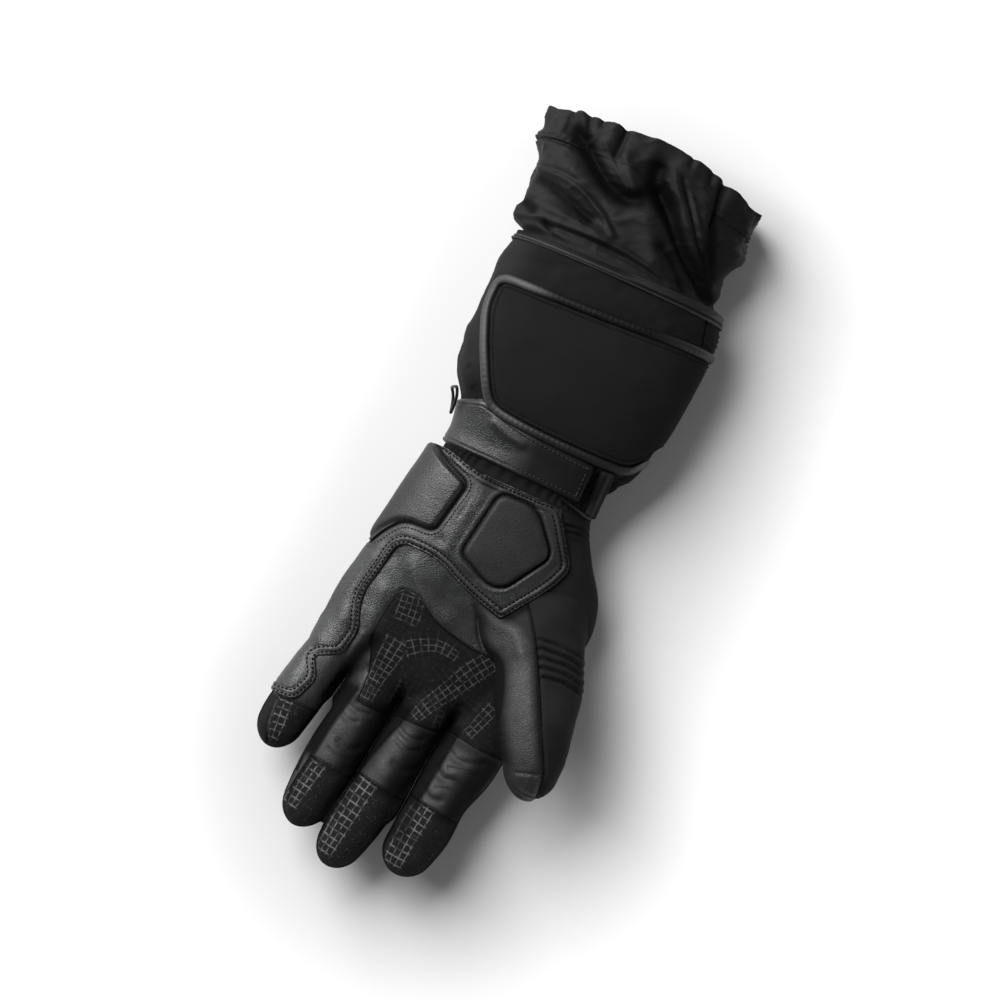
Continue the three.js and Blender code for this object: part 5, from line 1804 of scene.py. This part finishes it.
def build_materials():
    """All finishes of the glove, from the colour settings."""
    c = bpy.context.scene.glove_colours
    # Leathers: colour, grain, roughness, shine.
    # The palm's leather is the same colour made 1.7 times lighter: painted light on faces that the
    # key light reaches little.
    leather("leather_palm", scaled(c.leather, 1.7), 1.0, 0.37, 0.6)
    leather("leather_smooth", c.leather, 0.85, 0.37, 0.54)
    leather("leather_grained", c.leather, 1.1, 0.41, 0.57)
    grip("grip_suede", c.grip, c.grip_lines)
    # Fabrics: colour, thread pitch in mm, roughness, relief, change of tone, shine.
    woven("softshell_knit", c.softshell, 0.9, 0.85, 0.4, 0.35, 0.17)
    woven("nylon_matt", scaled(c.softshell, 1.1), 0.8, 0.8, 0.4, 0.15, 0.2)
    woven("flap_fabric", scaled(c.softshell, 0.97), 0.7, 0.9, 0.3, 0.1, 0.12)
    woven("nylon_cloth", c.nylon, 0.5, 0.62, 0.25, 0.15, 0.2)
    woven("binding_tape", c.binding, 1.1, 0.45, 0.5, 0.2, 0.55)
    woven("elastic_rib", c.elastic, 1.0, 0.88, 0.4, 0.35, 0.2)
    coated_metal(c.metal)
    sewing_thread("thread", c.thread, 0.5)
    sewing_thread("thread_dark", scaled(c.elastic, 0.5), 0.1)


def coated_metal(colour):
    """Black coated wire: fine specks in tone, gloss and height."""
    sheet = Sheet("metal_coated")
    speck = sheet.noise(sheet.place(), 1.2, 3.0)
    base = sheet.mix(speck.band(0.4, 0.7), tone(colour, 0.8), tone(colour, 1.4))
    sheet.finish(base, speck * 0.2 + 0.25, speck, 0.15, 0.0001, Metallic=0.85)


def sewing_thread(name, colour, shine):
    """Sewing thread with a little fray."""
    sheet = Sheet(name)
    fray = sheet.noise(sheet.place(), 2.0, 3.0)
    base = sheet.mix(fray, tone(colour, 0.7), tone(colour, 1.3))
    sheet.finish(base, 0.6, fray, 0.4, 0.0001, Specular_IOR_Level=shine)


# Stage
TURN = math.radians(24)  # of the camera about Z
LENS = 85
CAMERA_AT = (-0.00775, 0.00192, 1.163)
FLOOR_HALF = 12
FLOOR_Z = -0.0002


def soft_light(name, towards, distance, size, watts):
    """A square area light at a distance from the glove's middle, turned to it."""
    data = bpy.data.lights.new(name, "AREA")
    data.shape, data.size, data.energy = "SQUARE", size, watts
    thing = bpy.data.objects.new(name, data)
    way = Vector(towards).normalized()
    thing.location = way * distance + Vector((0, 0, 0.03))
    thing.rotation_euler = way.to_track_quat("Z", "Y").to_euler()
    bpy.context.scene.collection.objects.link(thing)


def grey(level):
    """A grey with alpha."""
    return tone((level, level, level))


def floor_paper():
    """Pale paper that glows with its distance from the glove's middle line, up to white."""
    sheet = Sheet("floor_paper")
    where = sheet.place()
    grain = sheet.noise(where, 0.02, 2.0)
    x, y, _ = sheet.parts(where)
    past = (y.math("ABSOLUTE") - 120).math("MAXIMUM", 0.0)
    away = (x * x + past * past) ** 0.5
    glow = sheet.mix(away.band(70, 190), grey(0), grey(0.5))
    glow = sheet.mix(away.band(500, 2500), glow, grey(0.85))
    base = sheet.mix(grain, grey(0.76), grey(0.78))
    sheet.finish(base, 0.9, grain, 0.02, 0.0001, Emission_Strength=1.0)
    sheet.feed(sheet.shader.inputs["Emission Color"], glow)
    return sheet.material


def place_camera():
    """The camera above the glove, looking straight down and turned about Z."""
    data = bpy.data.cameras.new("camera")
    data.lens, data.sensor_width = LENS, 36
    camera = bpy.data.objects.new("camera", data)
    right = Vector((math.cos(TURN), math.sin(TURN), 0))
    up = Vector((-math.sin(TURN), math.cos(TURN), 0))
    placed = Matrix((right, up, Vector((0, 0, 1)))).transposed().to_4x4()
    placed.translation = Vector(CAMERA_AT)
    camera.matrix_world = placed
    bpy.context.scene.collection.objects.link(camera)
    bpy.context.scene.camera = camera


def build_stage():
    """A pale floor, soft lights and the camera that looks straight down on the glove."""
    line = np.linspace(-FLOOR_HALF, FLOOR_HALF, 13)
    x, y = np.meshgrid(line, line, indexing="ij")
    grid = np.stack([x, y, np.full_like(x, FLOOR_Z)], -1) / MM
    quads = loop_quads(13, 13, closed=False)[:, ::-1]
    floor = bpy.data.objects.new("floor", to_mesh("floor", (grid.reshape(-1, 3), [quads])))
    floor.data.materials.append(floor_paper())
    bpy.context.scene.collection.objects.link(floor)
    soft_light("key", (-0.82, 0.4, 0.82), 1.4, 1.15, 36)
    soft_light("fill", (0.9, -0.3, 0.5), 1.6, 1.0, 3)
    world = bpy.data.worlds.new("studio")
    world.use_nodes = True
    world.node_tree.nodes["Background"].inputs[0].default_value = grey(1)
    world.node_tree.nodes["Background"].inputs[1].default_value = 0.1
    bpy.context.scene.world = world
    bpy.context.scene.view_settings.view_transform = "Standard"
    place_camera()


# The add-on


def colour_setting(name, text, value):
    """A colour setting."""
    return FloatVectorProperty(name=name, description=text, subtype="COLOR", size=3, min=0, max=1,
                               default=value)


def length_setting(name, text, value, low, high):
    """A length setting, given in mm and kept in metres."""
    return FloatProperty(name=name, description=text, default=value * MM, min=low * MM,
                         max=high * MM, subtype="DISTANCE", unit="LENGTH")


class GloveSizes(bpy.types.PropertyGroup):
    """Sizes of the glove's layers"""
    overlay: length_setting("Overlay", "Thickness of the palm overlay", 1.3, 0.5, 3)
    pad_rise: length_setting("Pad rise", "Height of the foam pads", 2.3, 0.5, 6)
    seam_depth: length_setting("Seam depth", "Depth of the sewn valleys", 0.9, 0, 2)


class GloveColours(bpy.types.PropertyGroup):
    """Colours of the glove's materials"""
    leather: colour_setting("Leather", "Palm, straps and pads", (0.0115, 0.012, 0.0127))
    grip: colour_setting("Grip", "Suede of the grip patches", (0.0072, 0.0074, 0.0076))
    # The grid lines' light grey stands partly for painted highlight, where the glossy lines catch the
    # light.
    grip_lines: colour_setting("Grip lines", "Raised lines of the grip patches", (0.17, 0.17, 0.172))
    softshell: colour_setting("Softshell", "Back, gauntlet and flap", (0.0083, 0.0085, 0.0088))
    nylon: colour_setting("Nylon", "Storm cuff", (0.0056, 0.0057, 0.006))
    binding: colour_setting("Binding", "Edge tape and piping", (0.017, 0.0174, 0.0178))
    elastic: colour_setting("Elastic", "Wrist gathers and dark thread", (0.004, 0.004, 0.0042))
    metal: colour_setting("Metal", "Ring bar and hook", (0.03, 0.03, 0.032))
    thread: colour_setting("Thread", "Visible stitches", (0.035, 0.036, 0.037))


class GLOVE_OT_materials(bpy.types.Operator):
    """Makes the leather, fabric, grip, thread and metal finishes"""
    bl_idname = "glove.materials"
    bl_label = "Materials"

    def execute(self, context):
        build_materials()
        return {"FINISHED"}


class GLOVE_OT_hand(bpy.types.Operator):
    """Builds the panels of the palm, fingers and back"""
    bl_idname = "glove.hand"
    bl_label = "Hand"

    def execute(self, context):
        build_hand()
        return {"FINISHED"}


class GLOVE_OT_thumb(bpy.types.Operator):
    """Builds the leather and softshell of the thumb"""
    bl_idname = "glove.thumb"
    bl_label = "Thumb"

    def execute(self, context):
        build_thumb()
        return {"FINISHED"}


class GLOVE_OT_palm_layers(bpy.types.Operator):
    """Builds the palm's overlay and foam pads"""
    bl_idname = "glove.palm_layers"
    bl_label = "Palm overlay and pads"

    def execute(self, context):
        build_palm_layers()
        return {"FINISHED"}


class GLOVE_OT_cuff(bpy.types.Operator):
    """Builds the wrist gathers, gauntlet and facing"""
    bl_idname = "glove.cuff"
    bl_label = "Gauntlet"

    def execute(self, context):
        build_cuff()
        return {"FINISHED"}


class GLOVE_OT_flap(bpy.types.Operator):
    """Builds the closure flap and its binding"""
    bl_idname = "glove.flap"
    bl_label = "Flap"

    def execute(self, context):
        build_flap()
        return {"FINISHED"}


class GLOVE_OT_strap(bpy.types.Operator):
    """Builds the wrist strap, keeper, ring bar and hook"""
    bl_idname = "glove.strap"
    bl_label = "Strap"

    def execute(self, context):
        build_strap()
        return {"FINISHED"}


class GLOVE_OT_storm(bpy.types.Operator):
    """Builds the gathered fabric cuff and its hem"""
    bl_idname = "glove.storm"
    bl_label = "Storm cuff"

    def execute(self, context):
        build_storm()
        return {"FINISHED"}


class GLOVE_OT_stitches(bpy.types.Operator):
    """Lays the rows of stitches on the sewn edges"""
    bl_idname = "glove.stitches"
    bl_label = "Stitches"

    def execute(self, context):
        build_stitches()
        return {"FINISHED"}


class GLOVE_OT_stage(bpy.types.Operator):
    """Sets up the floor, lights and camera"""
    bl_idname = "glove.stage"
    bl_label = "Stage"

    def execute(self, context):
        build_stage()
        return {"FINISHED"}


OPERATORS = (
    GLOVE_OT_materials,
    GLOVE_OT_hand,
    GLOVE_OT_thumb,
    GLOVE_OT_palm_layers,
    GLOVE_OT_cuff,
    GLOVE_OT_flap,
    GLOVE_OT_strap,
    GLOVE_OT_storm,
    GLOVE_OT_stitches,
    GLOVE_OT_stage,
)


class VIEW3D_PT_glove(bpy.types.Panel):
    """Lists the steps that build the glove"""
    bl_label = "Glove"
    bl_space_type = "VIEW_3D"
    bl_region_type = "UI"
    bl_category = "Glove"

    def draw(self, context):
        for group in (context.scene.glove_sizes, context.scene.glove_colours):
            for key in group.__annotations__:
                self.layout.prop(group, key)
        for one in OPERATORS:
            self.layout.operator(one.bl_idname)


CLASSES = (GloveSizes, GloveColours, *OPERATORS, VIEW3D_PT_glove)


def register():
    """Adds the settings, operators and panel."""
    for one in CLASSES:
        bpy.utils.register_class(one)
    bpy.types.Scene.glove_sizes = PointerProperty(type=GloveSizes)
    bpy.types.Scene.glove_colours = PointerProperty(type=GloveColours)


def unregister():
    """Takes the settings, operators and panel away."""
    del bpy.types.Scene.glove_sizes
    del bpy.types.Scene.glove_colours
    for one in reversed(CLASSES):
        bpy.utils.unregister_class(one)


def main():
    """Runs every step."""
    register()
    for one in OPERATORS:
        group, name = one.bl_idname.split(".")
        getattr(getattr(bpy.ops, group), name)()


if __name__ == "__main__":
    main()
